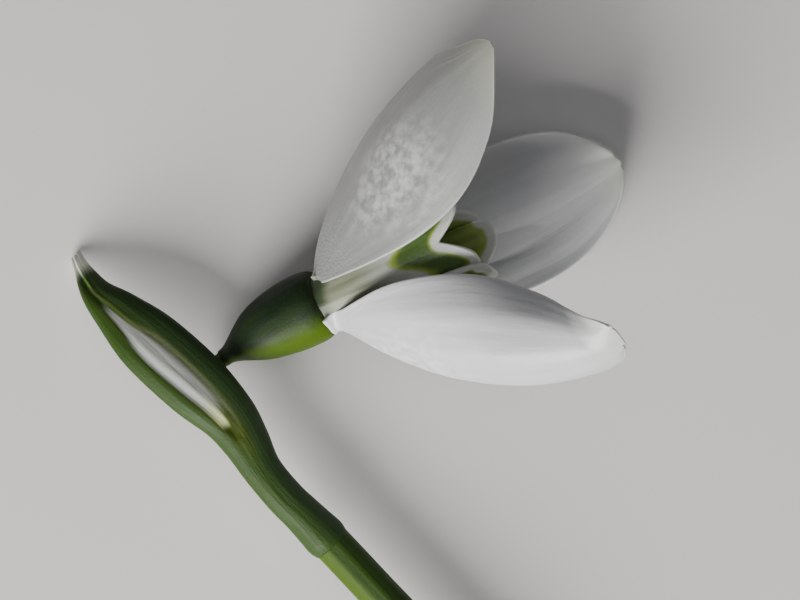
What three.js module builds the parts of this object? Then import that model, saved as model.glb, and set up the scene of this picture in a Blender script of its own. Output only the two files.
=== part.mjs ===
// Snowdrop flower, picked and lying on its side on a flat surface.
// Millimetres, +Z up. A cut scape carries a two-keeled spathe; a short pedicel
// leaves the slit under the spathe and bears one flower: ovary, three outer
// tepals, a cup of three notched inner tepals, six stamens and a style.

import * as THREE from 'three';

// ---------------------------------------------------------------- dimensions

// How the flower lies. The axis runs from the ovary to the mouth of the cup.
const AXIS_HEADING = 24.5;    // degrees from +X, seen from above
const AXIS_RISE = 22;         // degrees above the surface
const FLOWER_BASE = [-4.95, -0.13, 3.85];    // where the tepals meet the ovary
const PART_CENTRE = [0.18, -15.34, 0];       // middle of the whole part, seen from above

const BLADE = 0.6;            // thickness of tepals and of the spathe's wall
const JOIN_GAP = 0.05;        // clearance where one piece grows from another

const OUTER_ROWS = 24;        // stations along an outer tepal
const OUTER_COLUMNS = 12;     // steps across it
const CLAW_FADE = 6;          // how fast a tepal's narrow claw gives way to its blade
const MIDRIB_STEPS = 200;     // steps that a tepal's midrib and outline are measured in
const TIP_CROWDING = 1.35;    // stations stand closer together towards the tip
const LAST_STATION = 0.994;   // share of the length where the blade's blunt end lies

// Outer tepals: spoon-shaped blades, hooded at the tip.
//   azimuth      side of the axis that the blade stands on, 0 is uppermost
//   openBase, openTip   angle between midrib and axis, at base and tip
//   kick         extra outward turn right above the claw
//   hood         inward turn of the last part of the midrib
//   sideBend, tipBend   sideways curve of the whole midrib and of its end, share of its length
//   roll, rollMore      twist round the midrib at the base, and its growth
//   curl, curlMore      radius of the blade's cross curve, and its change
//   rise, fall, taper   exponents of the outline, from claw to tip
//   swellLeft, swellRight   fuller or slimmer edge just below the tip
//   stretches    local changes of the left (-1) or right (1) half: side, place, reach, millimetres
const OUTER_TEPALS = [
  {
    name: 'outer_tepal_upper', azimuth: 56.3, length: 21.0, width: 11.4, claw: 0.58,
    baseRadius: 1.91, baseRise: 0.03, openBase: 43.6, openTip: 14.7, kick: -13.2, hood: 0,
    sideBend: -0.013, tipBend: -0.011, roll: 19.5, rollMore: 8.8, curl: 6.75, curlMore: -0.84,
    rise: 1.04, fall: 0.82, taper: 1.03, swellLeft: -0.95, swellRight: 0.16, stretches: [],
  },
  {
    name: 'outer_tepal_lower', azimuth: -63, length: 21.1, width: 14.0, claw: 0.7,
    baseRadius: 1.97, baseRise: 0.02, openBase: 55.4, openTip: 8.4, kick: -15, hood: 16.6,
    sideBend: -0.005, tipBend: -0.012, roll: -10.8, rollMore: -14.4, curl: 4.02, curlMore: -0.97,
    rise: 0.76, fall: 0.67, taper: 0.9, swellLeft: -0.22, swellRight: -0.13,
    stretches: [[-1, 0.07, 0.085, -0.42], [1, 0.055, 0.045, -0.45], [1, 0.33, 0.15, 0.47], [-1, 1, 0.05, 1]],
  },
  {
    name: 'outer_tepal_back', azimuth: 177.1, length: 21.45, width: 11.4, claw: 0.74,
    baseRadius: 1.85, baseRise: 0.09, openBase: 39.6, openTip: 7.3, kick: 12, hood: 25.6,
    sideBend: 0.003, tipBend: -0.003, roll: 6.6, rollMore: 8.8, curl: 7.0, curlMore: 0.04,
    rise: 0.86, fall: 0.59, taper: 1.15, swellLeft: -0.08, swellRight: 0, stretches: [],
  },
];
const HOOD_START = 6;         // exponent that keeps the hood to the last part of a blade
const KICK_REACH = 0.08;      // share of the length over which the kick fades
const SWELL_PLACE = 0.87;     // share of the length where the edge swells
const SWELL_REACH = 0.08;
const STRETCH_FULL = 0.6;     // place across a blade from which a stretch has its full amount
const FURROW_DEPTH = 0.07;    // shallow furrows between the veins
const FURROWS = 2.5;

// Inner tepals: a cup of three upright blades, each with a notch in its end.
const INNER_TEPALS = [
  { name: 'inner_tepal_front', azimuth: 4, halfArc: 60, length: 11.35 },
  { name: 'inner_tepal_left', azimuth: 129, halfArc: 56, length: 11.0 },
  { name: 'inner_tepal_right', azimuth: -117.2, halfArc: 57.5, length: 11.35 },
];
const INNER_BASE_RADIUS = 1.78;
const INNER_MOUTH_RADIUS = 3.0;
const INNER_SWELL = 5.0;      // length over which the cup widens
const INNER_CLAW_ANGLE = 17;  // half the arc that the claw takes, degrees
const INNER_WIDEN = 4.5;      // length over which claw turns into blade
const NOTCH_DEPTH = 1.85;
const NOTCH_CURVE = 1.5;      // exponent of the notch's sides
const LOBE_PLACE = 0.6;       // share of the half width where a lobe is longest
const CORNER_PLACE = 0.8;     // where its outer corner starts to fall back
const CORNER_FALL = 1.1;
const LOBE_NARROWING = 0.1;   // share of the width lost at the very end
const NARROWING_START = 8;    // exponent that keeps the narrowing to the end
const INNER_ROWS = 16;
const INNER_COLUMNS = 14;

// Ovary: top-shaped, from a narrow neck to the shoulder under the tepals.
const OVARY_NECK = [-11.5, -3.85, 1.2];
const OVARY_BOW = [-0.1, 0.17, 0];           // how far its middle bows off the straight line
const OVARY_PROFILE = [       // share of its length, radius
  [0, 0.58], [0.06, 0.63], [0.13, 0.87], [0.21, 1.22], [0.33, 1.7],
  [0.47, 2.05], [0.66, 2.3], [0.84, 2.38], [0.94, 2.26], [0.98, 2.02], [1, 1.7],
];
const OVARY_RINGS = 22;
const OVARY_SIDES = 24;

// Stamens: six, close round the style.
const STAMEN_COUNT = 6;
const STAMEN_TURN = 60;
const STAMEN_FIRST = 38;
const STAMEN_RADIUS = 0.95;   // distance from the axis at the foot
const STAMEN_LEAN = 2.5;      // degrees towards the axis
const STAMEN_PROFILE = [      // height, radius: filament, anther, pointed end
  [0, 0.2], [0.9, 0.19], [1.15, 0.36], [1.8, 0.44], [3.6, 0.4], [5, 0.28], [5.9, 0.14], [6.4, 0.07],
];
const STYLE_PROFILE = [[0, 0.26], [1, 0.3], [4.5, 0.27], [7.4, 0.2], [7.8, 0.12]];
const ORGAN_SIDES = 8;

// Scape: knots of its centre line, from the cut end to the node under the spathe.
const SCAPE_RADIUS = 1.28;
const SCAPE_PATH = [
  [20.5, -45.4, 1.2], [15.9, -38.5, 1.65], [10.4, -31.8, 2.25],
  [4.6, -25.3, 2.8], [-1.1, -19.4, 3.05], [-4.6, -15.7, 3.1],
];
const SCAPE_CUT_SLANT = 24;   // degrees
const CUT_FADE = 40;          // exponent that keeps the slant to the cut end
const SCAPE_RINGS = 30;
const SCAPE_SIDES = 16;

// Spathe: knots of its centre line, with half width, half depth and the angle
// from the top of the section to the lips of the slit underneath, in degrees.
const SPATHE_PATH = [
  { at: [-4.72, -15.6, 3.1], half: 1.5, deep: 1.5, lip: 172 },
  { at: [-6.32, -14.03, 3.3], half: 1.32, deep: 1.4, lip: 171 },
  { at: [-7.66, -12.73, 3.45], half: 1.29, deep: 1.38, lip: 170 },
  { at: [-9.1, -10.98, 3.55], half: 1.32, deep: 1.4, lip: 166 },
  { at: [-10.2, -9.1, 3.65], half: 1.6, deep: 1.45, lip: 150 },
  { at: [-11.35, -7.5, 3.75], half: 1.88, deep: 1.4, lip: 135 },
  { at: [-13.4, -5.55, 3.8], half: 2.25, deep: 1.35, lip: 128 },
  { at: [-16.25, -2.95, 3.4], half: 2.2, deep: 1.25, lip: 128 },
  { at: [-18.2, -1.1, 2.75], half: 1.65, deep: 1.1, lip: 132 },
  { at: [-19.6, 0.25, 2.1], half: 1.08, deep: 0.85, lip: 140 },
  { at: [-20.5, 1.75, 1.1], half: 0.6, deep: 0.55, lip: 150 },
  { at: [-20.95, 2.85, 0.24], half: 0.3, deep: 0.3, lip: 160 },
];
const KEEL_PLACE = 72;        // degrees from the top of the section
const KEEL_REACH = 30;
const KEEL_HEIGHT = 0.3;      // how far a keel stands out of the wall
const KEEL_LIFT = 0.6;        // share of that height by which it also stands up
const KEEL_FULL_AT = 2.2;     // half width from which keels have their full height
const KEEL_START = 0.2;       // share of the length over which they rise at the foot
const MEMBRANE_DIP = 0.28;    // how far the membrane lies below the keels
const MEMBRANE_REACH = 38;
const WALL_SHARE = 0.55;      // most of the half width that the wall may take
const SPATHE_RINGS = 44;
const SPATHE_STEPS = 14;

// Pedicel: from the top of the scape, inside the spathe, out of the slit
// and round a tight bend into the neck of the ovary.
const PEDICEL_RADIUS = 0.53;
const PEDICEL_PATH = [
  [-4.75, -15.55, 3.1], [-6.32, -14.03, 3.28], [-7.66, -12.73, 3.4],
  [-9.1, -10.98, 3.45], [-10.2, -9.1, 3.35],
  [-11.3, -7.5, 2.95], [-11.95, -6.1, 2.2], [-12.2, -5.05, 1.6], [-12.0, -4.3, 1.28],
];
const PEDICEL_RINGS = 34;
const PEDICEL_SIDES = 10;

// ------------------------------------------------------------------ finishes

const finish = (color, roughness) => new THREE.MeshStandardMaterial({
  color, roughness, metalness: 0, side: THREE.DoubleSide,
});
const TEPAL_WHITE = finish(0xf2f3ee, 0.55);
const INNER_WHITE = finish(0xe6eadb, 0.55);
const OVARY_GREEN = finish(0x5f8a4a, 0.5);
const SCAPE_GREEN = finish(0x567f49, 0.5);
const SPATHE_GREEN = finish(0x8fae62, 0.55);
const ANTHER_ORANGE = finish(0xe09a2f, 0.7);
const STYLE_CREAM = finish(0xd9e2b4, 0.6);

// ------------------------------------------------------------------- helpers

const radians = THREE.MathUtils.degToRad;
const vector = (values) => new THREE.Vector3(...values);
const bell = (x, reach) => Math.exp(-((x / reach) ** 2));

// Value of a [place, value] table at a place, smooth between its points.
function tableCurve(table) {
  const curve = new THREE.SplineCurve(table.map(([x, y]) => new THREE.Vector2(x, y)));
  return (share) => curve.getPoint(share);
}

// Turns a shell of triangles so that its faces point outwards.
function solidFrom(points, triangles) {
  let volume = 0;
  for (const [a, b, c] of triangles) {
    volume += points[a].dot(new THREE.Vector3().crossVectors(points[b], points[c]));
  }
  const order = volume > 0 ? triangles : triangles.map(([a, b, c]) => [a, c, b]);
  const geometry = new THREE.BufferGeometry().setFromPoints(points);
  geometry.setIndex(order.flat());
  geometry.computeVertexNormals();
  return geometry;
}

// A blade between two grids of points, split into triangles alike on both faces.
function bladeBetween(outerGrid, innerGrid) {
  const rows = outerGrid.length;
  const columns = outerGrid[0].length;
  const points = [...outerGrid.flat(), ...innerGrid.flat()];
  const offset = rows * columns;
  const at = (row, column) => row * columns + column;
  const triangles = [];
  for (let row = 0; row < rows - 1; row += 1) {
    for (let column = 0; column < columns - 1; column += 1) {
      const a = at(row, column);
      const b = at(row, column + 1);
      const c = at(row + 1, column + 1);
      const d = at(row + 1, column);
      triangles.push([a, b, c], [a, c, d]);
      triangles.push([offset + a, offset + c, offset + b], [offset + a, offset + d, offset + c]);
    }
  }
  const rim = [];
  for (let column = 0; column < columns - 1; column += 1) rim.push(at(0, column));
  for (let row = 0; row < rows - 1; row += 1) rim.push(at(row, columns - 1));
  for (let column = columns - 1; column > 0; column -= 1) rim.push(at(rows - 1, column));
  for (let row = rows - 1; row > 0; row -= 1) rim.push(at(row, 0));
  rim.forEach((here, index) => {
    const next = rim[(index + 1) % rim.length];
    triangles.push([here, offset + here, offset + next], [here, offset + next, next]);
  });
  return solidFrom(points, triangles);
}

// A closed tube through rings of points, with a flat fan on each end.
function tubeThrough(rings) {
  const sides = rings[0].length;
  const points = rings.flat();
  const triangles = [];
  for (let ring = 0; ring < rings.length - 1; ring += 1) {
    for (let side = 0; side < sides; side += 1) {
      const a = ring * sides + side;
      const b = ring * sides + ((side + 1) % sides);
      triangles.push([a, b, b + sides], [a, b + sides, a + sides]);
    }
  }
  const last = (rings.length - 1) * sides;
  const middle = (ring) => ring.reduce((sum, p) => sum.add(p), new THREE.Vector3()).divideScalar(sides);
  points.push(middle(rings[0]), middle(rings[rings.length - 1]));
  const foot = points.length - 2;
  for (let side = 0; side < sides; side += 1) {
    const next = (side + 1) % sides;
    triangles.push([next, side, foot], [last + side, last + next, foot + 1]);
  }
  return solidFrom(points, triangles);
}

// Level sideways direction and the upward direction for a section across a path.
function sectionAxes(direction) {
  const sideways = new THREE.Vector3().crossVectors(direction, new THREE.Vector3(0, 0, 1)).normalize();
  const upward = new THREE.Vector3().crossVectors(sideways, direction).normalize();
  return { sideways, upward };
}

// A ring of points round a centre, across a direction.
function ringAround(centre, direction, radius, sides, slant = 0) {
  const { sideways, upward } = sectionAxes(direction);
  const ring = [];
  for (let side = 0; side < sides; side += 1) {
    const angle = (2 * Math.PI * side) / sides;
    const lean = slant * radius * Math.sin(angle);
    ring.push(centre.clone()
      .addScaledVector(sideways, radius * Math.cos(angle))
      .addScaledVector(upward, radius * Math.sin(angle))
      .addScaledVector(direction, lean));
  }
  return ring;
}

// Nothing reaches below the surface that the flower lies on.
function restOnSurface(point) {
  point.z = Math.max(point.z, 0);
  return point;
}

// ------------------------------------------------------------ flower's frame

const heading = radians(AXIS_HEADING);
const rise = radians(AXIS_RISE);
const axis = new THREE.Vector3(
  Math.cos(heading) * Math.cos(rise),
  Math.sin(heading) * Math.cos(rise),
  Math.sin(rise),
);
const uppermost = new THREE.Vector3(0, 0, 1).addScaledVector(axis, -axis.z).normalize();
const base = vector(FLOWER_BASE);

// Directions away from the axis and round it, at an azimuth.
function spoke(azimuth) {
  const outward = uppermost.clone().applyAxisAngle(axis, -radians(azimuth));
  const around = new THREE.Vector3().crossVectors(axis, outward);
  return { outward, around };
}

// -------------------------------------------------------------- outer tepals

// Midrib of an outer tepal: distance along the axis, away from it, and heading.
function midribOf(tepal) {
  const headingAt = (u) => radians(
    tepal.openBase * (1 - u) + tepal.openTip * u
    + tepal.kick * Math.exp(-u / KICK_REACH) - tepal.hood * u ** HOOD_START,
  );
  const along = [0];
  const away = [0];
  const step = tepal.length / MIDRIB_STEPS;
  for (let i = 1; i <= MIDRIB_STEPS; i += 1) {
    const angle = headingAt((i - 0.5) / MIDRIB_STEPS);
    along.push(along[i - 1] + Math.cos(angle) * step);
    away.push(away[i - 1] + Math.sin(angle) * step);
  }
  const read = (list, u) => {
    const place = u * MIDRIB_STEPS;
    const low = Math.min(Math.floor(place), MIDRIB_STEPS - 1);
    return THREE.MathUtils.lerp(list[low], list[low + 1], place - low);
  };
  return (u) => ({ along: read(along, u), away: read(away, u), angle: headingAt(u) });
}

// Half width of an outer tepal at u, on the side of v.
function halfWidthOf(tepal) {
  const outline = (u) => u ** tepal.rise * Math.max(1 - u ** tepal.taper, 0) ** tepal.fall;
  let fullest = 0;
  for (let i = 1; i < MIDRIB_STEPS; i += 1) fullest = Math.max(fullest, outline(i / MIDRIB_STEPS));
  return (u, v) => {
    const swell = v < 0 ? tepal.swellLeft : tepal.swellRight;
    return (tepal.width / 2) * (outline(u) / fullest)
      + tepal.claw * (1 - u) ** CLAW_FADE
      + swell * bell(u - SWELL_PLACE, SWELL_REACH);
  };
}

// Millimetres that a point of an outer tepal moves to the right, for its stretches.
function stretchOf(tepal) {
  return (u, v) => tepal.stretches.reduce((sum, [side, at, reach, more]) => (
    sum + side * more * bell(u - at, reach) * THREE.MathUtils.smoothstep(v * side, 0, STRETCH_FULL)
  ), 0);
}

// Point of an outer tepal at (u, v), a depth below its outer face.
function outerTepalSurface(tepal) {
  const { outward, around } = spoke(tepal.azimuth);
  const midrib = midribOf(tepal);
  const halfWidth = halfWidthOf(tepal);
  const stretch = stretchOf(tepal);
  return (u, v, depth) => {
    const rib = midrib(u);
    const inward = axis.clone().multiplyScalar(Math.sin(rib.angle))
      .addScaledVector(outward, -Math.cos(rib.angle));
    const twist = radians(tepal.roll + tepal.rollMore * u);
    const across = around.clone().multiplyScalar(Math.cos(twist)).addScaledVector(inward, Math.sin(twist));
    const hollow = around.clone().multiplyScalar(-Math.sin(twist)).addScaledVector(inward, Math.cos(twist));
    const curl = tepal.curl * (1 + tepal.curlMore * (u - 0.5));
    const turn = (v * halfWidth(u, v)) / curl;
    const furrow = FURROW_DEPTH * Math.sin(Math.PI * u) * (1 + Math.cos(2 * Math.PI * FURROWS * v)) / 2;
    const sunk = depth + furrow;
    return base.clone()
      .addScaledVector(axis, tepal.baseRise + rib.along)
      .addScaledVector(outward, tepal.baseRadius + rib.away)
      .addScaledVector(around, (tepal.sideBend * u ** 2 + tepal.tipBend * u ** 5) * tepal.length)
      .addScaledVector(across, (curl - sunk) * Math.sin(turn) + stretch(u, v))
      .addScaledVector(hollow, curl - (curl - sunk) * Math.cos(turn));
  };
}

// Stations along a blade, closer together towards the tip.
function stations(rows) {
  return Array.from({ length: rows + 1 }, (_, i) => LAST_STATION * (1 - (1 - i / rows) ** TIP_CROWDING));
}

function outerTepal(tepal) {
  const surface = outerTepalSurface(tepal);
  const grid = (depth) => stations(OUTER_ROWS).map((u) => (
    Array.from({ length: OUTER_COLUMNS + 1 }, (_, j) => (
      restOnSurface(surface(u, (2 * j) / OUTER_COLUMNS - 1, depth))
    ))
  ));
  const outer = grid(0);
  const inner = grid(BLADE);
  // Where the outer face is pressed flat, the blade keeps its thickness.
  inner.forEach((row) => row.forEach((point) => { point.z = Math.max(point.z, BLADE); }));
  return bladeBetween(outer, inner);
}

// -------------------------------------------------------------- inner tepals

// How far short of the full length a blade ends, at v.
function notchAt(v) {
  const side = Math.abs(v);
  const notch = NOTCH_DEPTH * Math.max(1 - side / LOBE_PLACE, 0) ** NOTCH_CURVE;
  const corner = CORNER_FALL * Math.max((side - CORNER_PLACE) / (1 - CORNER_PLACE), 0) ** 2;
  return notch + corner;
}

function innerTepalSurface({ azimuth, halfArc, length }) {
  const wholeSwell = 1 - Math.exp(-length / INNER_SWELL);
  const radiusAt = (x) => INNER_BASE_RADIUS
    + (INNER_MOUTH_RADIUS - INNER_BASE_RADIUS) * (1 - Math.exp(-x / INNER_SWELL)) / wholeSwell;
  return (u, v, depth) => {
    const x = u * (length - notchAt(v));
    const widening = 1 - Math.exp(-((x / INNER_WIDEN) ** 2));
    const narrowing = 1 - LOBE_NARROWING * u ** NARROWING_START;
    const reach = THREE.MathUtils.lerp(INNER_CLAW_ANGLE, halfArc, widening) * narrowing;
    const { outward } = spoke(azimuth + v * reach);
    return base.clone()
      .addScaledVector(axis, x + JOIN_GAP)
      .addScaledVector(outward, radiusAt(x) - depth);
  };
}

function innerTepal(tepal) {
  const surface = innerTepalSurface(tepal);
  const grid = (depth) => Array.from({ length: INNER_ROWS + 1 }, (_, i) => (
    Array.from({ length: INNER_COLUMNS + 1 }, (__, j) => (
      surface(i / INNER_ROWS, (2 * j) / INNER_COLUMNS - 1, depth)
    ))
  ));
  return bladeBetween(grid(0), grid(BLADE));
}

// --------------------------------------------------------------------- ovary

function ovary() {
  const neck = vector(OVARY_NECK);
  const top = base.clone().addScaledVector(axis, -JOIN_GAP);
  const bow = vector(OVARY_BOW);
  const line = new THREE.CubicBezierCurve3(
    neck,
    neck.clone().lerp(top, 1 / 3).addScaledVector(bow, 2),
    top.clone().addScaledVector(axis, -neck.distanceTo(top) / 3),
    top,
  );
  const radius = tableCurve(OVARY_PROFILE);
  const rings = [];
  for (let i = 0; i <= OVARY_RINGS; i += 1) {
    const { x: share, y: size } = radius(i / OVARY_RINGS);
    rings.push(ringAround(line.getPointAt(share), line.getTangentAt(share), size, OVARY_SIDES));
  }
  return tubeThrough(rings);
}

// --------------------------------------------------------- stamens and style

// A slender organ standing on the ovary's top, its girth read from a profile.
function organ(foot, direction, profile) {
  const rings = profile.map(([height, radius]) => (
    ringAround(foot.clone().addScaledVector(direction, height), direction, radius, ORGAN_SIDES)
  ));
  return tubeThrough(rings);
}

function stamen(index) {
  const { outward } = spoke(STAMEN_FIRST + index * STAMEN_TURN);
  const lean = radians(STAMEN_LEAN);
  const direction = axis.clone().multiplyScalar(Math.cos(lean)).addScaledVector(outward, -Math.sin(lean));
  const foot = base.clone().addScaledVector(outward, STAMEN_RADIUS).addScaledVector(axis, JOIN_GAP);
  return organ(foot, direction, STAMEN_PROFILE);
}

// --------------------------------------------------- scape, spathe, pedicel

// A round stalk along a path, its first end cut at a slant.
function stalk(path, radius, rings, sides, cutSlant = 0) {
  const curve = new THREE.CatmullRomCurve3(path.map(vector));
  const list = [];
  for (let i = 0; i <= rings; i += 1) {
    const share = i / rings;
    const slant = Math.tan(radians(cutSlant)) * (1 - share) ** CUT_FADE;
    list.push(ringAround(curve.getPointAt(share), curve.getTangentAt(share), radius, sides, slant)
      .map(restOnSurface));
  }
  return tubeThrough(list);
}

function spathe() {
  const knots = SPATHE_PATH;
  const centreLine = new THREE.CatmullRomCurve3(knots.map((knot) => vector(knot.at)), false, 'catmullrom');
  const girth = new THREE.CatmullRomCurve3(
    knots.map((knot) => new THREE.Vector3(knot.half, knot.deep, knot.lip)),
    false,
    'catmullrom',
  );
  const rings = [];
  for (let i = 0; i <= SPATHE_RINGS; i += 1) {
    const share = i / SPATHE_RINGS;
    const centre = centreLine.getPoint(share);
    const { sideways, upward } = sectionAxes(centreLine.getTangent(share));
    const { x: half, y: deep, z: lip } = girth.getPoint(share);
    const wall = Math.min(BLADE, WALL_SHARE * half);
    const keelShare = Math.min(half / KEEL_FULL_AT, 1) * Math.min(share / KEEL_START, 1);
    const point = (angle, depth) => {
      const degrees = Math.abs(THREE.MathUtils.radToDeg(angle));
      const keel = KEEL_HEIGHT * keelShare * bell(degrees - KEEL_PLACE, KEEL_REACH);
      const dip = MEMBRANE_DIP * keelShare * bell(degrees, MEMBRANE_REACH);
      const out = (half - KEEL_HEIGHT * keelShare + keel - depth) * Math.sin(angle);
      const up = (deep + KEEL_LIFT * keel - dip - depth) * Math.cos(angle);
      return restOnSurface(centre.clone().addScaledVector(sideways, out).addScaledVector(upward, up));
    };
    const face = (depth) => Array.from({ length: SPATHE_STEPS + 1 }, (_, j) => (
      point(radians(lip) * ((2 * j) / SPATHE_STEPS - 1), depth)
    ));
    rings.push({ outer: face(0), inner: face(wall) });
  }
  return bladeBetween(rings.map((ring) => ring.outer), rings.map((ring) => ring.inner));
}

// ------------------------------------------------------------------ assembly

const group = new THREE.Group();
const shift = vector(PART_CENTRE).negate();

function add(name, geometry, material) {
  const mesh = new THREE.Mesh(geometry.translate(shift.x, shift.y, shift.z), material);
  mesh.name = name;
  group.add(mesh);
}

add('scape', stalk(SCAPE_PATH, SCAPE_RADIUS, SCAPE_RINGS, SCAPE_SIDES, SCAPE_CUT_SLANT), SCAPE_GREEN);
add('spathe', spathe(), SPATHE_GREEN);
add('pedicel', stalk(PEDICEL_PATH, PEDICEL_RADIUS, PEDICEL_RINGS, PEDICEL_SIDES), OVARY_GREEN);
add('ovary', ovary(), OVARY_GREEN);
OUTER_TEPALS.forEach((tepal) => add(tepal.name, outerTepal(tepal), TEPAL_WHITE));
INNER_TEPALS.forEach((tepal) => add(tepal.name, innerTepal(tepal), INNER_WHITE));
for (let i = 0; i < STAMEN_COUNT; i += 1) {
  add(`stamen_${i + 1}`, stamen(i), ANTHER_ORANGE);
}
add('style', organ(base.clone().addScaledVector(axis, JOIN_GAP), axis, STYLE_PROFILE), STYLE_CREAM);

export default group;
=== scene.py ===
"""A picked snowdrop, lying on its side: fine tepals, marked cup, ovary, spathe and scape.

Sizes are millimetres, turned to metres when a mesh gets its shape. A piece starts as a Blender primitive,
is divided or extruded in edit mode, takes its form from the same few driving sizes as the solid that it
replaces, and is finished with modifiers.
"""

import bisect
import logging
import math
from collections.abc import Callable, Iterator, Sequence
from contextlib import contextmanager
from dataclasses import dataclass
from enum import Enum
from functools import reduce

import bmesh
import bpy
from mathutils import Matrix, Vector, noise


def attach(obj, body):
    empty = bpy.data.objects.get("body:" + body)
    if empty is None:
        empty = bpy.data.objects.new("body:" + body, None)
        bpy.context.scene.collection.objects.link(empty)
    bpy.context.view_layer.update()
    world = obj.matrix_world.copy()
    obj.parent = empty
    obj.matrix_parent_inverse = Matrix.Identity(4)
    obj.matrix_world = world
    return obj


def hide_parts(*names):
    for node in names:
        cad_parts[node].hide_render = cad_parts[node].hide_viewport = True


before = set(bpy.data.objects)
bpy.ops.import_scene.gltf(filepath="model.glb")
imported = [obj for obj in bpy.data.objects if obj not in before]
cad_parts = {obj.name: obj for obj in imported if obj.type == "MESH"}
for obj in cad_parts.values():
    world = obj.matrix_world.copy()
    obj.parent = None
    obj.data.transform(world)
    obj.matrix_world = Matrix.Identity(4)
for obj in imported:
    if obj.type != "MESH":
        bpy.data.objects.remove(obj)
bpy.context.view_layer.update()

BODY = "root"
MM = 0.001
# Least cosine between a rod and the normal of its end face.
UPRIGHT = 0.9
# Degrees between two faces up to which their shared edge is shaded smooth.
SMOOTH_ANGLE = 50.0
# Millimetres by which the ovary ends before the tepals' foot, and the stamens begin after it.
JOIN = 0.05
# Cells of a plant's skin to a millimetre.
CELL_SCALE = 6.0

Colour = tuple[float, float, float]
Point = tuple[float, float, float]
Place = Callable[[Vector], Vector]
Piece = bpy.types.Object
Material = bpy.types.Material
Socket = bpy.types.NodeSocket

log = logging.getLogger("snowdrop")


# ---------------------------------------------------------------- mathematics


def bell(x: float, reach: float) -> float:
    """Bell curve of height 1 round zero, which has faded to a third at reach."""
    return math.exp(-((x / reach) ** 2))


def lerp(a: float, b: float, share: float) -> float:
    """Value a given share of the way from a to b."""
    return a + (b - a) * share


def ease(x: float, low: float, high: float) -> float:
    """Smooth step from 0 at low to 1 at high."""
    share = min(max((x - low) / (high - low), 0.0), 1.0)
    return share * share * (3.0 - 2.0 * share)


def ripple(x: float, y: float, seed: float) -> float:
    """Smooth seeded noise from -1 to 1 over a plane."""
    return noise.noise(Vector((x, y, seed)))


class Spline:
    """Catmull-Rom curve through knots of several values, read by share of its knots or of its length."""

    STEPS = 400

    def __init__(self, knots: Sequence[Sequence[float]]) -> None:
        """Adds a knot straight past each end, and measures the curve's length over the first three values.

        Args:
            knots: the values that the curve passes through, in order.
        """
        inner = [tuple(float(value) for value in knot) for knot in knots]
        ends = ((inner[0], inner[1]), (inner[-1], inner[-2]))
        first, last = (tuple(2 * a - b for a, b in zip(end, beside)) for end, beside in ends)
        self.knots = [first, *inner, last]
        self.lengths = [0.0]
        before = Vector(self.at(0.0)[:3])
        for step in range(1, self.STEPS + 1):
            here = Vector(self.at(step / self.STEPS)[:3])
            self.lengths.append(self.lengths[-1] + (here - before).length)
            before = here

    def at(self, share: float) -> tuple[float, ...]:
        """Values at a share of the knots, 0 to 1.

        Args:
            share: share of the knots, 0 to 1.

        Returns:
            The values of the curve there.
        """
        spans = len(self.knots) - 3
        place = min(max(share, 0.0), 1.0) * spans
        index = min(int(place), spans - 1)
        t = place - index
        return tuple(
            0.5 * (
                2 * q + (r - p) * t + (2 * p - 5 * q + 4 * r - s) * t * t
                + (3 * q - p - 3 * r + s) * t ** 3
            )
            for p, q, r, s in zip(*self.knots[index:index + 4])
        )

    def even(self, share: float) -> float:
        """Share of the knots that lies at a share of the curve's length.

        Args:
            share: share of the length, 0 to 1.

        Returns:
            The share of the knots.
        """
        wanted = min(max(share, 0.0), 1.0) * self.lengths[-1]
        high = min(max(bisect.bisect_left(self.lengths, wanted), 1), self.STEPS)
        low = high - 1
        span = self.lengths[high] - self.lengths[low]
        part = (wanted - self.lengths[low]) / span if span else 0.0
        return (low + part) / self.STEPS

    def direction(self, share: float) -> Vector:
        """Unit tangent of the first three values at a share of the knots.

        Args:
            share: share of the knots, 0 to 1.

        Returns:
            The unit vector.
        """
        step = 1e-3
        here = Vector(self.at(max(share - step, 0.0))[:3])
        there = Vector(self.at(min(share + step, 1.0))[:3])
        return (there - here).normalized()


def section_axes(direction: Vector) -> tuple[Vector, Vector]:
    """Level sideways direction and upward direction of a section across a path."""
    sideways = direction.cross(Vector((0.0, 0.0, 1.0))).normalized()
    return sideways, sideways.cross(direction).normalized()


# ------------------------------------------------------------------ modelling


def clear_selection() -> None:
    """Leaves nothing selected, the imported solids included."""
    bpy.ops.object.select_all(action="DESELECT")


def take(piece: Piece) -> None:
    """Makes one piece the only selected and active one."""
    clear_selection()
    piece.select_set(True)
    bpy.context.view_layer.objects.active = piece


@contextmanager
def edit_mode(piece: Piece, select: str = "SELECT") -> Iterator[None]:
    """Takes a piece into edit mode for a while.

    Args:
        piece: the piece.
        select: SELECT to begin with all of it selected, DESELECT to begin with nothing.
    """
    take(piece)
    bpy.ops.object.mode_set(mode="EDIT")
    bpy.ops.mesh.select_all(action=select)
    yield
    bpy.ops.object.mode_set(mode="OBJECT")


def named(name: str) -> Piece:
    """Names the primitive that was just added, and its mesh.

    Args:
        name: the new name.

    Returns:
        The primitive.
    """
    piece = bpy.context.object
    piece.name = name
    piece.data.name = name
    return piece


def fresh_grid(name: str, columns: int, rows: int) -> Piece:
    """Adds a flat grid, from -1 to 1 across in x and along in y.

    Args:
        name: name of the piece.
        columns: faces across.
        rows: faces along.

    Returns:
        The grid, ready to be shaped.
    """
    clear_selection()
    bpy.ops.mesh.primitive_grid_add(x_subdivisions=columns, y_subdivisions=rows, size=2.0)
    return named(name)


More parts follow.
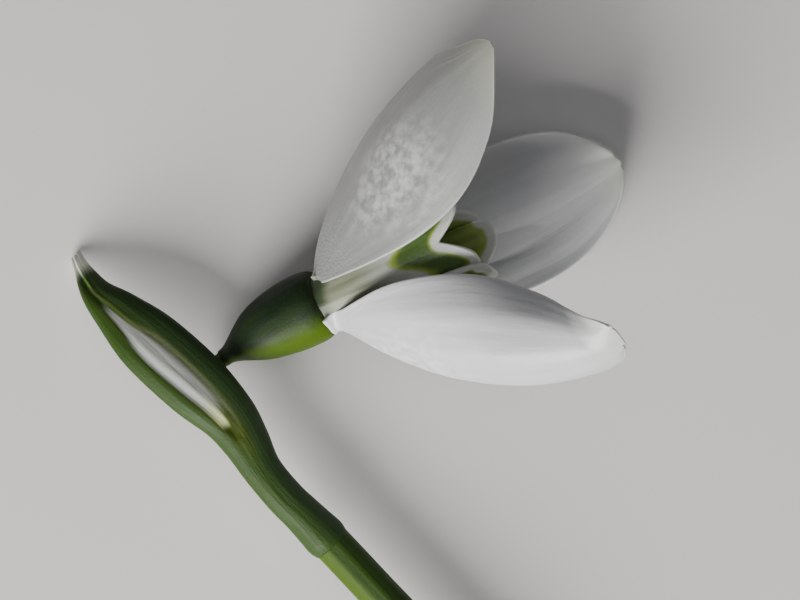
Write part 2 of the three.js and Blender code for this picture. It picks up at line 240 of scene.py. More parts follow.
def fresh_rod(name: str, sides: int, rings: int) -> Piece:
    """Adds a closed rod of radius 1 along z, extruded ring by ring, one unit each.

    Args:
        name: name of the piece.
        sides: faces round the rod.
        rings: faces along the rod.

    Returns:
        The rod, from z 0 to z rings, with the cosine, the sine and the share along noted as its girth.
    """
    clear_selection()
    bpy.ops.mesh.primitive_cylinder_add(vertices=sides, radius=1.0, depth=1.0, end_fill_type="NGON")
    rod = named(name)
    rod.data.transform(Matrix.Translation((0.0, 0.0, 0.5)))
    with edit_mode(rod, "DESELECT"):
        bpy.ops.mesh.select_mode(type="FACE")
        select_end(rod, 1.0)
        for _ in range(rings - 1):
            bpy.ops.mesh.extrude_region_move(TRANSFORM_OT_translate={"value": (0.0, 0.0, 1.0)})
    note(rod, "girth", lambda place: (place.x, place.y, place.z / rings))
    return rod


def select_end(rod: Piece, end: float) -> None:
    """Selects an end face of an upright rod in edit mode: its top for 1, its foot for -1."""
    mesh = bmesh.from_edit_mesh(rod.data)
    for face in mesh.faces:
        face.select_set(face.normal.z * end > UPRIGHT)
    bmesh.update_edit_mesh(rod.data)


def note(piece: Piece, name: str, value: Callable[[Vector], Sequence[float]]) -> None:
    """Writes three numbers on each vertex, which finishes read as an attribute.

    Args:
        piece: the piece, before it is shaped.
        name: name of the attribute.
        value: gives the three numbers for a vertex of the unshaped piece.
    """
    attribute = piece.data.attributes.new(name, "FLOAT_VECTOR", "POINT")
    flat = [number for vertex in piece.data.vertices for number in value(vertex.co)]
    attribute.data.foreach_set("vector", flat)


def weigh(piece: Piece, name: str, value: Callable[[Vector], float]) -> None:
    """Gives each vertex a weight in a vertex group.

    Args:
        piece: the piece, before it is shaped.
        name: name of the group.
        value: gives the weight, 0 to 1, for a vertex of the unshaped piece.
    """
    group = piece.vertex_groups.new(name=name)
    for vertex in piece.data.vertices:
        group.add([vertex.index], value(vertex.co), "REPLACE")


def shape(piece: Piece, place: Place) -> None:
    """Moves each vertex of a primitive to its place, none below the surface that the flower lies on.

    Args:
        piece: the piece.
        place: gives a vertex's place in millimetres from its place on the primitive.
    """
    for vertex in piece.data.vertices:
        vertex.co = place(vertex.co.copy()) * MM
    keep_above_surface(piece)
    piece.data.update()


def apply_modifier(piece: Piece, kind: str, **settings: object) -> None:
    """Adds a modifier, sets it and applies it.

    Args:
        piece: the piece.
        kind: Blender's name of the modifier's type.
        **settings: the modifier's settings.
    """
    take(piece)
    modifier = piece.modifiers.new(kind.title(), kind)
    for setting, value in settings.items():
        setattr(modifier, setting, value)
    bpy.ops.object.modifier_apply(modifier=modifier.name)


def subdivide(piece: Piece, levels: int) -> None:
    """Rounds a piece off with an applied subdivision surface."""
    apply_modifier(piece, "SUBSURF", levels=levels, render_levels=levels)


def thicken(sheet: Piece, thickness: float, **more: object) -> None:
    """Gives a sheet its thickness in millimetres, scaled by its weights, and rounds its rim."""
    apply_modifier(
        sheet, "SOLIDIFY", thickness=thickness * MM, offset=-1.0,
        vertex_group="thick", thickness_vertex_group=0.0, **more,
    )
    subdivide(sheet, 1)


def share_along(flat: Vector) -> float:
    """Share of the way along a grid, 0 at its foot."""
    return (flat.y + 1) / 2


def thin_rim(flat: Vector, rim: float, power: int) -> float:
    """Share of a blade's full thickness: the rim's share at both sides and the end, more further in."""
    return lerp(1.0, rim, max(abs(flat.x), flat.y) ** power)


def face_outwards(piece: Piece) -> None:
    """Turns every face of a closed piece outwards."""
    with edit_mode(piece):
        bpy.ops.mesh.normals_make_consistent(inside=False)


def turn_outwards(sheet: Piece, near: Vector, direction: Vector) -> None:
    """Flips an open sheet whose face near a point looks away from a direction.

    Args:
        sheet: the open sheet.
        near: a point on it, in millimetres.
        direction: where its outer face has to look.
    """
    face = min(sheet.data.polygons, key=lambda polygon: (polygon.center - near * MM).length)
    if face.normal.dot(direction) < 0:
        with edit_mode(sheet):
            bpy.ops.mesh.flip_normals()


def keep_above_surface(piece: Piece) -> None:
    """Lets no vertex reach below the surface that the flower lies on."""
    for vertex in piece.data.vertices:
        vertex.co.z = max(vertex.co.z, 0.0)


def open_slots(piece: Piece, count: int) -> None:
    """Gives a piece as many empty material slots as it needs."""
    while len(piece.data.materials) < count:
        piece.data.materials.append(None)


def hand_in(piece: Piece, nodes: Sequence[str], materials: Sequence[Material]) -> None:
    """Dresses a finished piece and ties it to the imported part.

    Args:
        piece: the finished piece.
        nodes: the solids that it stands for.
        materials: its finishes, in the order of its material slots.
    """
    open_slots(piece, len(materials))
    for index, material in enumerate(materials):
        piece.data.materials[index] = material
    take(piece)
    bpy.ops.object.shade_smooth_by_angle(angle=math.radians(SMOOTH_ANGLE))
    keep_above_surface(piece)
    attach(piece, BODY)
    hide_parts(*nodes)
    log.info("%s: %d faces, for %s", piece.name, len(piece.data.polygons), ", ".join(nodes))


# ------------------------------------------------------------------- finishes


class Bench:
    """Lays and links the nodes of one material."""

    def __init__(self, name: str) -> None:
        """Starts a material with a plain principled shader.

        Args:
            name: name of the material.
        """
        self.material = bpy.data.materials.new(name)
        self.material.use_nodes = True
        self.tree = self.material.node_tree
        self.shader = self.tree.nodes["Principled BSDF"]

    def node(self, kind: str, inputs: dict, output: int = 0, **settings: object) -> Socket:
        """Adds a node.

        Args:
            kind: the node's type, without its ShaderNode prefix.
            inputs: a value or another node's output for each named or numbered input.
            output: number of the output that is returned.
            **settings: the node's own settings.

        Returns:
            The chosen output of the new node.
        """
        made = self.tree.nodes.new("ShaderNode" + kind)
        for setting, value in settings.items():
            setattr(made, setting, value)
        for key, value in inputs.items():
            self.feed(made.inputs[key], value)
        return made.outputs[output]

    def feed(self, socket: Socket, value: object) -> None:
        """Links an output to a socket, or sets the socket's own value."""
        if isinstance(value, Socket):
            self.tree.links.new(value, socket)
        elif isinstance(value, tuple) and socket.type == "RGBA":
            socket.default_value = (*value, 1.0)
        else:
            socket.default_value = value

    def set(self, **values: object) -> None:
        """Sets sockets of the principled shader; an underscore in a name stands for a space."""
        for key, value in values.items():
            self.feed(self.shader.inputs[key.replace("_", " ")], value)

    def attribute(self, name: str) -> tuple[Socket, ...]:
        """The three numbers of an attribute, one socket each.

        Args:
            name: name of the attribute.

        Returns:
            The three sockets.
        """
        vector = self.node("Attribute", {}, output=1, attribute_name=name)
        made = self.tree.nodes.new("ShaderNodeSeparateXYZ")
        self.tree.links.new(vector, made.inputs[0])
        return tuple(made.outputs)

    def millimetres(self) -> Socket:
        """The place on the piece, in millimetres."""
        place = self.node("TexCoord", {}, output=3)
        return self.node("VectorMath", {0: place, "Scale": 1.0 / MM}, operation="SCALE")

    def join(self, x: object, y: object, z: object) -> Socket:
        """One vector from three numbers."""
        return self.node("CombineXYZ", {0: x, 1: y, 2: z})

    def maths(self, operation: str, *values: object) -> Socket:
        """An operation on numbers."""
        return self.node("Math", dict(enumerate(values)), operation=operation)

    def plus(self, a: object, b: object) -> Socket:
        """The sum of two numbers."""
        return self.maths("ADD", a, b)

    def minus(self, a: object, b: object) -> Socket:
        """The difference of two numbers."""
        return self.maths("SUBTRACT", a, b)

    def times(self, *factors: object) -> Socket:
        """The product of two or more numbers."""
        return reduce(lambda a, b: self.maths("MULTIPLY", a, b), factors)

    def distance(self, x: object, y: object) -> Socket:
        """Distance of a point of a plane from its origin."""
        return self.node("VectorMath", {0: self.join(x, y, 0.0)}, output=1, operation="LENGTH")

    def stretch(self, x: object, y: object, by_x: float, by_y: float) -> Socket:
        """One vector from two numbers, each scaled."""
        return self.join(self.times(x, by_x), self.times(y, by_y), 0.0)

    def waver(self, value: object, cloud: object, amount: float) -> Socket:
        """A value moved either way by up to half an amount, by a cloud from 0 to 1."""
        return self.plus(value, self.times(self.minus(cloud, 0.5), amount))

    def span(self, value: object, low: float, high: float, start: float = 0.0, end: float = 1.0) -> Socket:
        """Smooth step of a value from start at low to end at high."""
        ends = {0: value, 1: low, 2: high, 3: start, 4: end}
        return self.node("MapRange", ends, interpolation_type="SMOOTHSTEP")

    def noise(self, vector: object, scale: float, detail: float = 2.0) -> Socket:
        """Cloudy noise from 0 to 1."""
        return self.node("TexNoise", {"Vector": vector, "Scale": scale, "Detail": detail})

    def cells(self, vector: object, scale: float = CELL_SCALE, feature: str = "F1") -> Socket:
        """Distance to the middle of the nearest of many cells, close together like those of a skin."""
        return self.node("TexVoronoi", {"Vector": vector, "Scale": scale}, feature=feature)

    def mix(self, factor: object, a: object, b: object) -> Socket:
        """Colour a given share of the way from a to b."""
        return self.node("Mix", {0: factor, 6: a, 7: b}, output=2, data_type="RGBA")

    def tint(
        self, colour: object, shade: object, share: object, value: object, low: float, high: float
    ) -> Socket:
        """Turns a colour to a shade where a value goes from low to high.

        Args:
            colour: the colour below.
            shade: the colour that it is turned to.
            share: how far it is turned in the end.
            value: what the turning depends on.
            low: value at which the turning begins.
            high: value at which it is complete.

        Returns:
            The turned colour.
        """
        return self.mix(self.times(self.span(value, low, high), share), colour, shade)

    def bump(self, height: object, depth: float, below: object = None) -> Socket:
        """Relief of a depth in millimetres.

        Args:
            height: the relief's height, 0 to 1.
            depth: how high the relief stands.
            below: a coarser relief that this one lies on.

        Returns:
            The bent normal.
        """
        inputs = {"Height": height, "Distance": depth * MM, "Strength": 1.0}
        if below is not None:
            inputs["Normal"] = below
        return self.node("Bump", inputs)

    def finish(
        self, colour: object, roughness: object, relief: Socket,
        soft: float, radius: Colour, depth: float, **more: object,
    ) -> Material:
        """Sets the principled shader.

        Args:
            colour: colour of the surface.
            roughness: its roughness.
            relief: its bent normal.
            soft: share of the light that enters the tissue and comes out again.
            radius: how far each colour of that light reaches, for each unit of depth.
            depth: reach of that light, in millimetres.
            **more: further sockets of the shader.

        Returns:
            The finished material.
        """
        self.set(Base_Color=colour, Roughness=roughness, Normal=relief, Subsurface_Weight=soft)
        self.set(Subsurface_Radius=radius, Subsurface_Scale=depth * MM, **more)
        return self.material


@dataclass(frozen=True)
class PetalTissue:
    """White petal tissue: silky, slightly translucent, finely veined and papillose, with a patch of painted
    highlight and painted rim light along the margin.
    """

    name: str
    white: Colour = (0.58, 0.585, 0.60)
    vein: Colour = (0.42, 0.425, 0.43)
    highlight_white: Colour = (0.80, 0.805, 0.82)
    tip: Colour = (0.56, 0.58, 0.44)
    tip_share: float = 0.35
    foot: Colour = (0.50, 0.52, 0.42)
    highlight_share: float = 0.2
    highlight_at: tuple[float, float] = (0.05, 0.47)
    highlight_reach: tuple[float, float] = (0.75, 0.26)
    grit: float = 0.25

    def patch(self, bench: Bench, across: object, along: object) -> Socket:
        """Share of the patch of painted highlight, 1 in its middle."""
        sideways, lengthwise = (
            bench.maths("DIVIDE", bench.minus(value, middle), reach)
            for value, middle, reach in zip((across, along), self.highlight_at, self.highlight_reach)
        )
        return bench.span(bench.distance(sideways, lengthwise), 1.0, 0.1)

    def material(self) -> Material:
        """Builds the finish on the blade attribute: place across, place along, millimetres to the margin."""
        bench = Bench(self.name)
        across, along, margin = bench.attribute("blade")
        place = bench.millimetres()
        lengthwise = bench.stretch(across, along, 16.0, 5.0)
        body = bench.times(bench.span(along, 0.0, 0.2), bench.span(along, 1.0, 0.75))
        ridges = bench.times(bench.noise(lengthwise, 0.5, 3.0), body)
        fine = bench.times(bench.noise(lengthwise, 2.2, 3.0), body)
        # Painted highlight: bright blotches in a patch, as light glints through the puckered tissue; the
        # blotches also give it relief.
        blotches = bench.span(bench.noise(place, 1.5, 4.0), 0.34, 0.72)
        painted_highlight = bench.times(blotches, self.patch(bench, across, along), self.highlight_share)
        colour = bench.tint(self.white, self.vein, 0.3, ridges, 0.42, 0.68)
        colour = bench.tint(colour, self.vein, 0.14, fine, 0.45, 0.7)
        # Painted highlight in the patch, and painted rim light brightening the margin.
        colour = bench.mix(painted_highlight, colour, self.highlight_white)
        colour = bench.tint(colour, self.highlight_white, 0.35, margin, 0.22, 0.05)
        # Greener and greyer towards the tip: partly the tissue's own greenish tinge, partly painted shade of
        # the hooded tip.
        colour = bench.tint(colour, self.tip, self.tip_share, along, 0.82, 1.0)
        # At the foot: the default grey-green is painted shade where the blade meets the ovary; the lower
        # tepal's light foot is a painted highlight.
        colour = bench.tint(colour, self.foot, 0.75, along, 0.035, 0.0)
        cells = bench.cells(place, feature="SMOOTH_F1")
        gritty = bench.times(cells, bench.span(along, 0.3, 0.02, self.grit, 1.0))
        relief = None
        for height, depth in ((ridges, 0.05), (fine, 0.01), (painted_highlight, 0.007), (gritty, 0.05)):
            relief = bench.bump(height, depth, relief)
        return bench.finish(
            colour, bench.span(fine, 0.3, 0.7, 0.34, 0.46), relief,
            soft=0.3, radius=(0.8, 0.85, 0.8), depth=0.7, Sheen_Weight=0.08, Specular_IOR_Level=0.4,
        )


class CupFace(Enum):
    """The two faces of an inner tepal."""

    OUTSIDE = "outside"
    INSIDE = "inside"


@dataclass(frozen=True)
class CupTissue:
    """Tissue of the cup: cream claw darkened by painted shade, white margin, and green round the notch
    outside or in stripes inside.
    """

    face: CupFace
    foot: Colour = (0.030, 0.046, 0.018)
    # Cream of the claw, darkened as painted shade under the upper tepal.
    cream: Colour = (0.19, 0.205, 0.135)
    white: Colour = (0.60, 0.62, 0.58)
    green: Colour = (0.075, 0.140, 0.038)
    fringe: Colour = (0.29, 0.39, 0.05)
    olive: Colour = (0.12, 0.18, 0.025)
    band: float = 0.58
    stripes: float = 24.0

    def marks(
        self, bench: Bench, across: object, edge: object, depth: object, along: object
    ) -> tuple[Socket, Socket]:
        """How green the tissue is, and how deep the green.

        Args:
            bench: the bench of the material.
            across: place across the blade.
            edge: millimetres to the margin.
            depth: millimetres into the mark.
            along: place along the blade.

        Returns:
            The share of green, and the share of its deepest tone.
        """
        band = self.band
        if self.face is CupFace.OUTSIDE:
            shown = bench.times(bench.span(edge, band - 0.1, band + 0.1), bench.span(depth, -0.3, 0.3))
            deep = bench.times(bench.span(edge, band, band + 0.3), bench.span(depth, 0.1, 0.9))
            return shown, deep
        line = bench.maths("SINE", bench.times(across, self.stripes))
        striped = bench.span(line, -0.6, 0.8)
        shown = bench.times(bench.span(edge, band - 0.15, band + 0.2), bench.span(along, 0.2, 0.4))
        shown = bench.times(shown, bench.plus(bench.times(striped, 0.06), 0.92))
        tone = bench.plus(bench.times(striped, 0.25), 0.4)
        return shown, bench.times(bench.span(edge, band + 0.1, 1.3), tone)

    def material(self) -> Material:
        """Builds the finish on the cup attribute, whose three numbers InnerTepal.facts describes."""
        bench = Bench(f"cup_tissue_{self.face.value}")
        across, margin, depth = bench.attribute("cup")
        _, along, _ = bench.attribute("blade")
        place = bench.millimetres()
        cloud = bench.noise(place, 1.3)
        edge = bench.waver(margin, cloud, 0.15)
        inner = bench.waver(depth, cloud, 0.4)
        shown, deep = self.marks(bench, across, edge, inner, along)
        ground = bench.mix(bench.span(along, 0.3, 0.75), self.cream, self.white)
        margins = bench.times(bench.span(edge, 0.5, 0.0), bench.span(along, 0.3, 0.6))
        ground = bench.mix(bench.times(margins, 0.6), ground, self.white)
        # Dark green at the foot, partly painted shade where the claw meets the ovary.
        sloped = bench.minus(along, bench.times(across, 0.05))
        ground = bench.mix(bench.span(sloped, 0.15, 0.05), ground, self.foot)
        green = bench.tint(self.green, self.olive, 0.5, bench.noise(place, 3.5, 3.0), 0.35, 0.7)
        green = bench.mix(deep, self.fringe, green)
        colour = bench.mix(shown, ground, green)
        grooves = bench.noise(bench.stretch(across, along, 14.0, 3.0), 1.0, 3.0)
        cells = bench.cells(place, feature="SMOOTH_F1")
        return bench.finish(
            colour, 0.42, bench.bump(cells, 0.012, bench.bump(grooves, 0.015)),
            soft=0.25, radius=(0.7, 0.8, 0.5), depth=0.5, Sheen_Weight=0.05, Specular_IOR_Level=0.38,
        )


@dataclass(frozen=True)
class GreenSkin:
    """Waxy green skin of a stalk or of the ovary, with fine lengthwise lines, and painted light: one side
    painted fresher green, with a painted sheen of pale streaks.
    """

    name: str
    deep: Colour = (0.025, 0.056, 0.015)
    fresh: Colour = (0.052, 0.098, 0.002)
    pale: Colour = (0.11, 0.17, 0.02)
    rim: Colour = (0.050, 0.062, 0.032)
    lines: float = 9.0
    contrast: float = 0.45
    # Painted light: how much one side of the rod, chosen by the sign of the cosine, is painted fresh green as
    # if lit, and how strong the painted sheen of pale streaks on it is.
    painted_lit_share: float = 0.0
    painted_lit_towards: float = -1.0
    painted_sheen: float = 0.2
    rim_start: float = 0.8
    rim_share: float = 0.0

    def material(self) -> Material:
        """Builds the finish on the girth attribute: cosine and sine round the rod, and the place along."""
        bench = Bench(self.name)
        cosine, sine, along = bench.attribute("girth")
        place = bench.millimetres()
        round_by = (bench.times(value, self.lines) for value in (cosine, sine))
        streaks = bench.noise(bench.join(*round_by, bench.times(along, 5.0)), 0.5, 4.0)
        colour = bench.tint(self.deep, self.fresh, self.contrast, streaks, 0.3, 0.75)
        # Painted light on one side of the rod, with a painted sheen of pale streaks.
        towards = bench.waver(bench.times(cosine, self.painted_lit_towards), bench.noise(place, 0.5), 0.5)
        painted_lit_side = bench.times(bench.span(towards, 0.1, 0.75), self.painted_lit_share)
        colour = bench.mix(painted_lit_side, colour, self.fresh)
        colour = bench.tint(colour, self.pale, bench.times(painted_lit_side, self.painted_sheen), streaks, 0.5, 0.8)
        rim = bench.times(bench.span(along, self.rim_start, 0.97), self.rim_share, bench.minus(1.0, painted_lit_side))
        colour = bench.mix(rim, colour, self.rim)
        stomata = bench.cells(place)
        colour = bench.tint(colour, self.pale, 0.14, stomata, 0.28, 0.1)
        relief = bench.bump(stomata, 0.01, bench.bump(streaks, 0.04))
        return bench.finish(
            colour, bench.span(streaks, 0.2, 0.8, 0.46, 0.58), relief,
            soft=0.2, radius=(0.5, 0.9, 0.25), depth=0.6, Specular_IOR_Level=0.15,
        )


@dataclass(frozen=True)
class Seam:
    """Line past the window's upper end, where the right keel's edge lies over the left keel."""

    share: float = 0.81
    degrees: float = -10.0
    turn: float = -165.0
    width: float = 5.0

    def at(self, share: float) -> float:
        """Angle of the line at a place along the spathe, in degrees."""
        return self.degrees + self.turn * (share - self.share)


SEAM = Seam()


@dataclass(frozen=True)
class SpatheSkin:
    """Spathe: green keels, silvery membrane between them, and a pale papery rim and tip."""

    name: str = "spathe_skin"
    deep: Colour = (0.025, 0.052, 0.016)
    dark_fresh: Colour = (0.022, 0.050, 0.007)
    fresh: Colour = (0.031, 0.068, 0.006)
    # Pale green of the left keel's outer side and of the right keel's edge: partly painted rim light and
    # painted highlight.
    side: Colour = (0.15, 0.26, 0.05)
    olive: Colour = (0.055, 0.08, 0.008)
    shadow: Colour = (0.026, 0.036, 0.008)
    cream: Colour = (0.66, 0.72, 0.36)
    papery: Colour = (0.76, 0.78, 0.74)
    shade: Colour = (0.11, 0.118, 0.10)
    tip: Colour = (0.80, 0.82, 0.70)

    def keels(self, bench: Bench, angle: object, along: object, left: object, streaks: object) -> Socket:
        """Green of both keels: deep on the right, partly painted shade, and fresh on the left, partly painted
        light, with a pale outer side on the left that is partly painted rim light, and a painted highlight
        along the right keel's edge.

        Args:
            bench: the bench of the material.
            angle: angle from the top of the spathe, as a share of half a turn.
            along: place along the spathe.
            left: 1 on the left keel, 0 on the right one.
            streaks: fine lengthwise streaks, 0 to 1.

        Returns:
            The colour of the keels.
        """
        # Painted shade deepens the right keel, and painted light freshens the left one.
        shaded_right_keel = bench.mix(bench.span(streaks, 0.3, 0.8), self.deep, self.dark_fresh)
        shaded_right_keel = bench.mix(bench.span(along, 0.78, 0.92, 0.0, 0.8), shaded_right_keel, self.fresh)
        lit_left_keel = bench.mix(bench.span(streaks, 0.2, 0.85, 0.2, 0.8), self.dark_fresh, self.fresh)
        green = bench.mix(left, shaded_right_keel, lit_left_keel)
        # Pale outer side of the left keel: partly its silvery rim, partly painted rim light.
        green = bench.tint(green, self.side, 0.75, angle, -0.42, -0.54)
        # Painted highlight along the right keel's edge past the seam.
        past = bench.minus(angle, bench.times(along, SEAM.turn / 180.0))
        past = bench.minus(past, (SEAM.degrees - SEAM.turn * SEAM.share) / 180.0)
        edge = bench.times(bench.span(past, 0.0, 0.015), bench.span(past, 0.07, 0.02))
        edge = bench.times(edge, bench.span(along, 0.72, 0.9, 0.0, 0.6))
        return bench.mix(edge, green, self.side)

    def membrane(self, bench: Bench, across: object, along: object, folds: object) -> Socket:
        """Membrane: bright on the left, painted shade on the right, creamy and then olive towards its foot,
        with painted shade at its top.

        Args:
            bench: the bench of the material.
            across: place across the window, 0 at its left edge and 1 at its right one.
            along: place along the spathe.
            folds: soft lengthwise folds, 0 to 1.

        Returns:
            The colour of the membrane.
        """
        swayed = bench.waver(across, folds, 0.35)
        dark = bench.times(bench.span(swayed, 0.30, 0.48), bench.span(folds, 0.25, 0.7, 1.0, 0.5))
        colour = bench.mix(dark, self.papery, self.shade)
        # Near the foot: cream on the left, olive on the right as painted shade.
        low = bench.mix(bench.span(swayed, 0.40, 0.62), self.cream, self.olive)
        colour = bench.mix(bench.span(along, 0.54, 0.45), colour, low)
        # Painted shade: dark green at the top of the window.
        colour = bench.mix(bench.span(along, 0.72, 0.79), colour, self.dark_fresh)
        colour = bench.mix(bench.span(along, 0.455, 0.42), colour, self.olive)
        return bench.mix(bench.span(swayed, 0.66, 0.9), colour, self.shadow)

    def material(self) -> Material:
        """Builds the finish on the two attributes of the spathe, which its facts and more_facts describe."""
        bench = Bench(self.name)
        angle, along, window = bench.attribute("sheath")
        lip, left, across = bench.attribute("sheath_more")
        streaks = bench.noise(bench.stretch(angle, along, 26.0, 8.0), 1.0, 4.0)
        folds = bench.noise(bench.stretch(angle, along, 10.0, 4.0), 1.0, 3.0)
        green = self.keels(bench, angle, along, left, streaks)
        line = bench.times(bench.span(window, -0.5, -0.1), bench.span(left, 0.3, 0.9, 0.9, 0.5))
        green = bench.mix(line, green, bench.mix(left, self.shadow, self.olive))
        wedge = bench.times(bench.span(along, 0.25, 0.4), bench.span(along, 0.5, 0.42))
        wedge = bench.times(wedge, bench.span(bench.maths("ABSOLUTE", bench.plus(angle, 0.03)), 0.16, 0.03))
        green = bench.mix(bench.times(wedge, 0.8), green, self.olive)
        blurred = bench.waver(window, streaks, 0.4)
        membrane = self.membrane(bench, across, along, folds)
        colour = bench.mix(bench.span(blurred, -0.15, 0.25), green, membrane)
        colour = bench.tint(colour, self.papery, 0.7, lip, 0.5, 0.1)
        whitening = bench.waver(along, streaks, 0.04)
        colour = bench.mix(bench.span(whitening, 0.87, 0.93), colour, self.tip)
        relief = bench.bump(streaks, 0.035, bench.bump(folds, 0.06))
        relief = bench.bump(bench.cells(bench.millimetres()), 0.01, relief)
        return bench.finish(
            colour, 0.5, relief, soft=0.2, radius=(0.6, 0.9, 0.4), depth=0.6, Specular_IOR_Level=0.2
        )


@dataclass(frozen=True)
class CutFace:
    """Fresh cut across a scape: a green rind round moist pale pith."""

    name: str = "cut_face"
    rind: Colour = (0.16, 0.27, 0.06)
    pith: Colour = (0.55, 0.62, 0.36)

    def material(self) -> Material:
        """Builds the finish on the girth attribute, whose first two numbers say how far out a place is."""
        bench = Bench(self.name)
        cosine, sine, _ = bench.attribute("girth")
        vessels = bench.cells(bench.join(cosine, sine, 0.0), 7.0)
        colour = bench.mix(bench.span(bench.distance(cosine, sine), 0.7, 0.98), self.pith, self.rind)
        colour = bench.tint(colour, self.rind, 0.5, vessels, 0.3, 0.1)
        relief = bench.bump(vessels, 0.04)
        return bench.finish(colour, 0.3, relief, soft=0.3, radius=(0.6, 0.9, 0.4), depth=0.8)


@dataclass(frozen=True)
class PollenCoat:
    """Orange anther, dusty with pollen."""

    name: str = "pollen_coat"
    orange: Colour = (0.62, 0.26, 0.03)
    dust: Colour = (0.80, 0.48, 0.10)

    def material(self) -> Material:
        """Builds the finish from fine grains on the object's own coordinates."""
        bench = Bench(self.name)
        place = bench.millimetres()
        grains = bench.cells(place, 12.0)
        clouds = bench.noise(place, 2.5, 4.0)
        colour = bench.mix(bench.span(clouds, 0.35, 0.65), self.orange, self.dust)
        colour = bench.tint(colour, self.dust, 0.4, grains, 0.4, 0.1)
        relief = bench.bump(grains, 0.03)
        return bench.finish(colour, 0.75, relief, soft=0.15, radius=(0.5, 0.3, 0.1), depth=0.5)


# ----------------------------------------------------------- flower's frame


@dataclass(frozen=True)
class FlowerLie:
    """How the flower lies: its axis from ovary to mouth, and where the tepals meet the ovary."""

    heading: float = 24.5
    rise: float = 22.0
    base: Point = (-4.95, -0.13, 3.85)
    part_centre: Point = (0.18, -15.34, 0.0)

    @property
    def axis(self) -> Vector:
        """Unit vector from the ovary to the mouth of the cup."""
        heading = math.radians(self.heading)
        rise = math.radians(self.rise)
        level = math.cos(rise)
        return Vector((math.cos(heading) * level, math.sin(heading) * level, math.sin(rise)))

    @property
    def root(self) -> Vector:
        """Place where the tepals meet the ovary, from the middle of the part."""
        return self.inside(self.base)

    def inside(self, point: Sequence[float]) -> Vector:
        """A point of the flower's own plan, from the middle of the part."""
        return Vector(point) - Vector(self.part_centre)

    def spoke(self, azimuth: float) -> tuple[Vector, Vector]:
        """Directions away from the axis and round it, at an azimuth that is 0 uppermost.

        Args:
            azimuth: degrees round the axis.

        Returns:
            The outward direction, and the direction round.
        """
        axis = self.axis
        uppermost = Vector((0.0, 0.0, 1.0))
        uppermost = (uppermost - axis * uppermost.dot(axis)).normalized()
        outward = uppermost.copy()
        outward.rotate(Matrix.Rotation(math.radians(-azimuth), 3, axis))
        return outward, axis.cross(outward)


LIE = FlowerLie()


# --------------------------------------------------------------- outer tepals


@dataclass(frozen=True)
class Trim:
    """Local stretch of a blade's left (-1) or right (1) half."""

    side: int
    at: float
    reach: float
    more: float

    def push(self, u: float, v: float) -> float:
        """Millimetres that a place on the blade moves to the right."""
        return self.side * self.more * bell(u - self.at, self.reach) * ease(v * self.side, 0.0, 0.6)


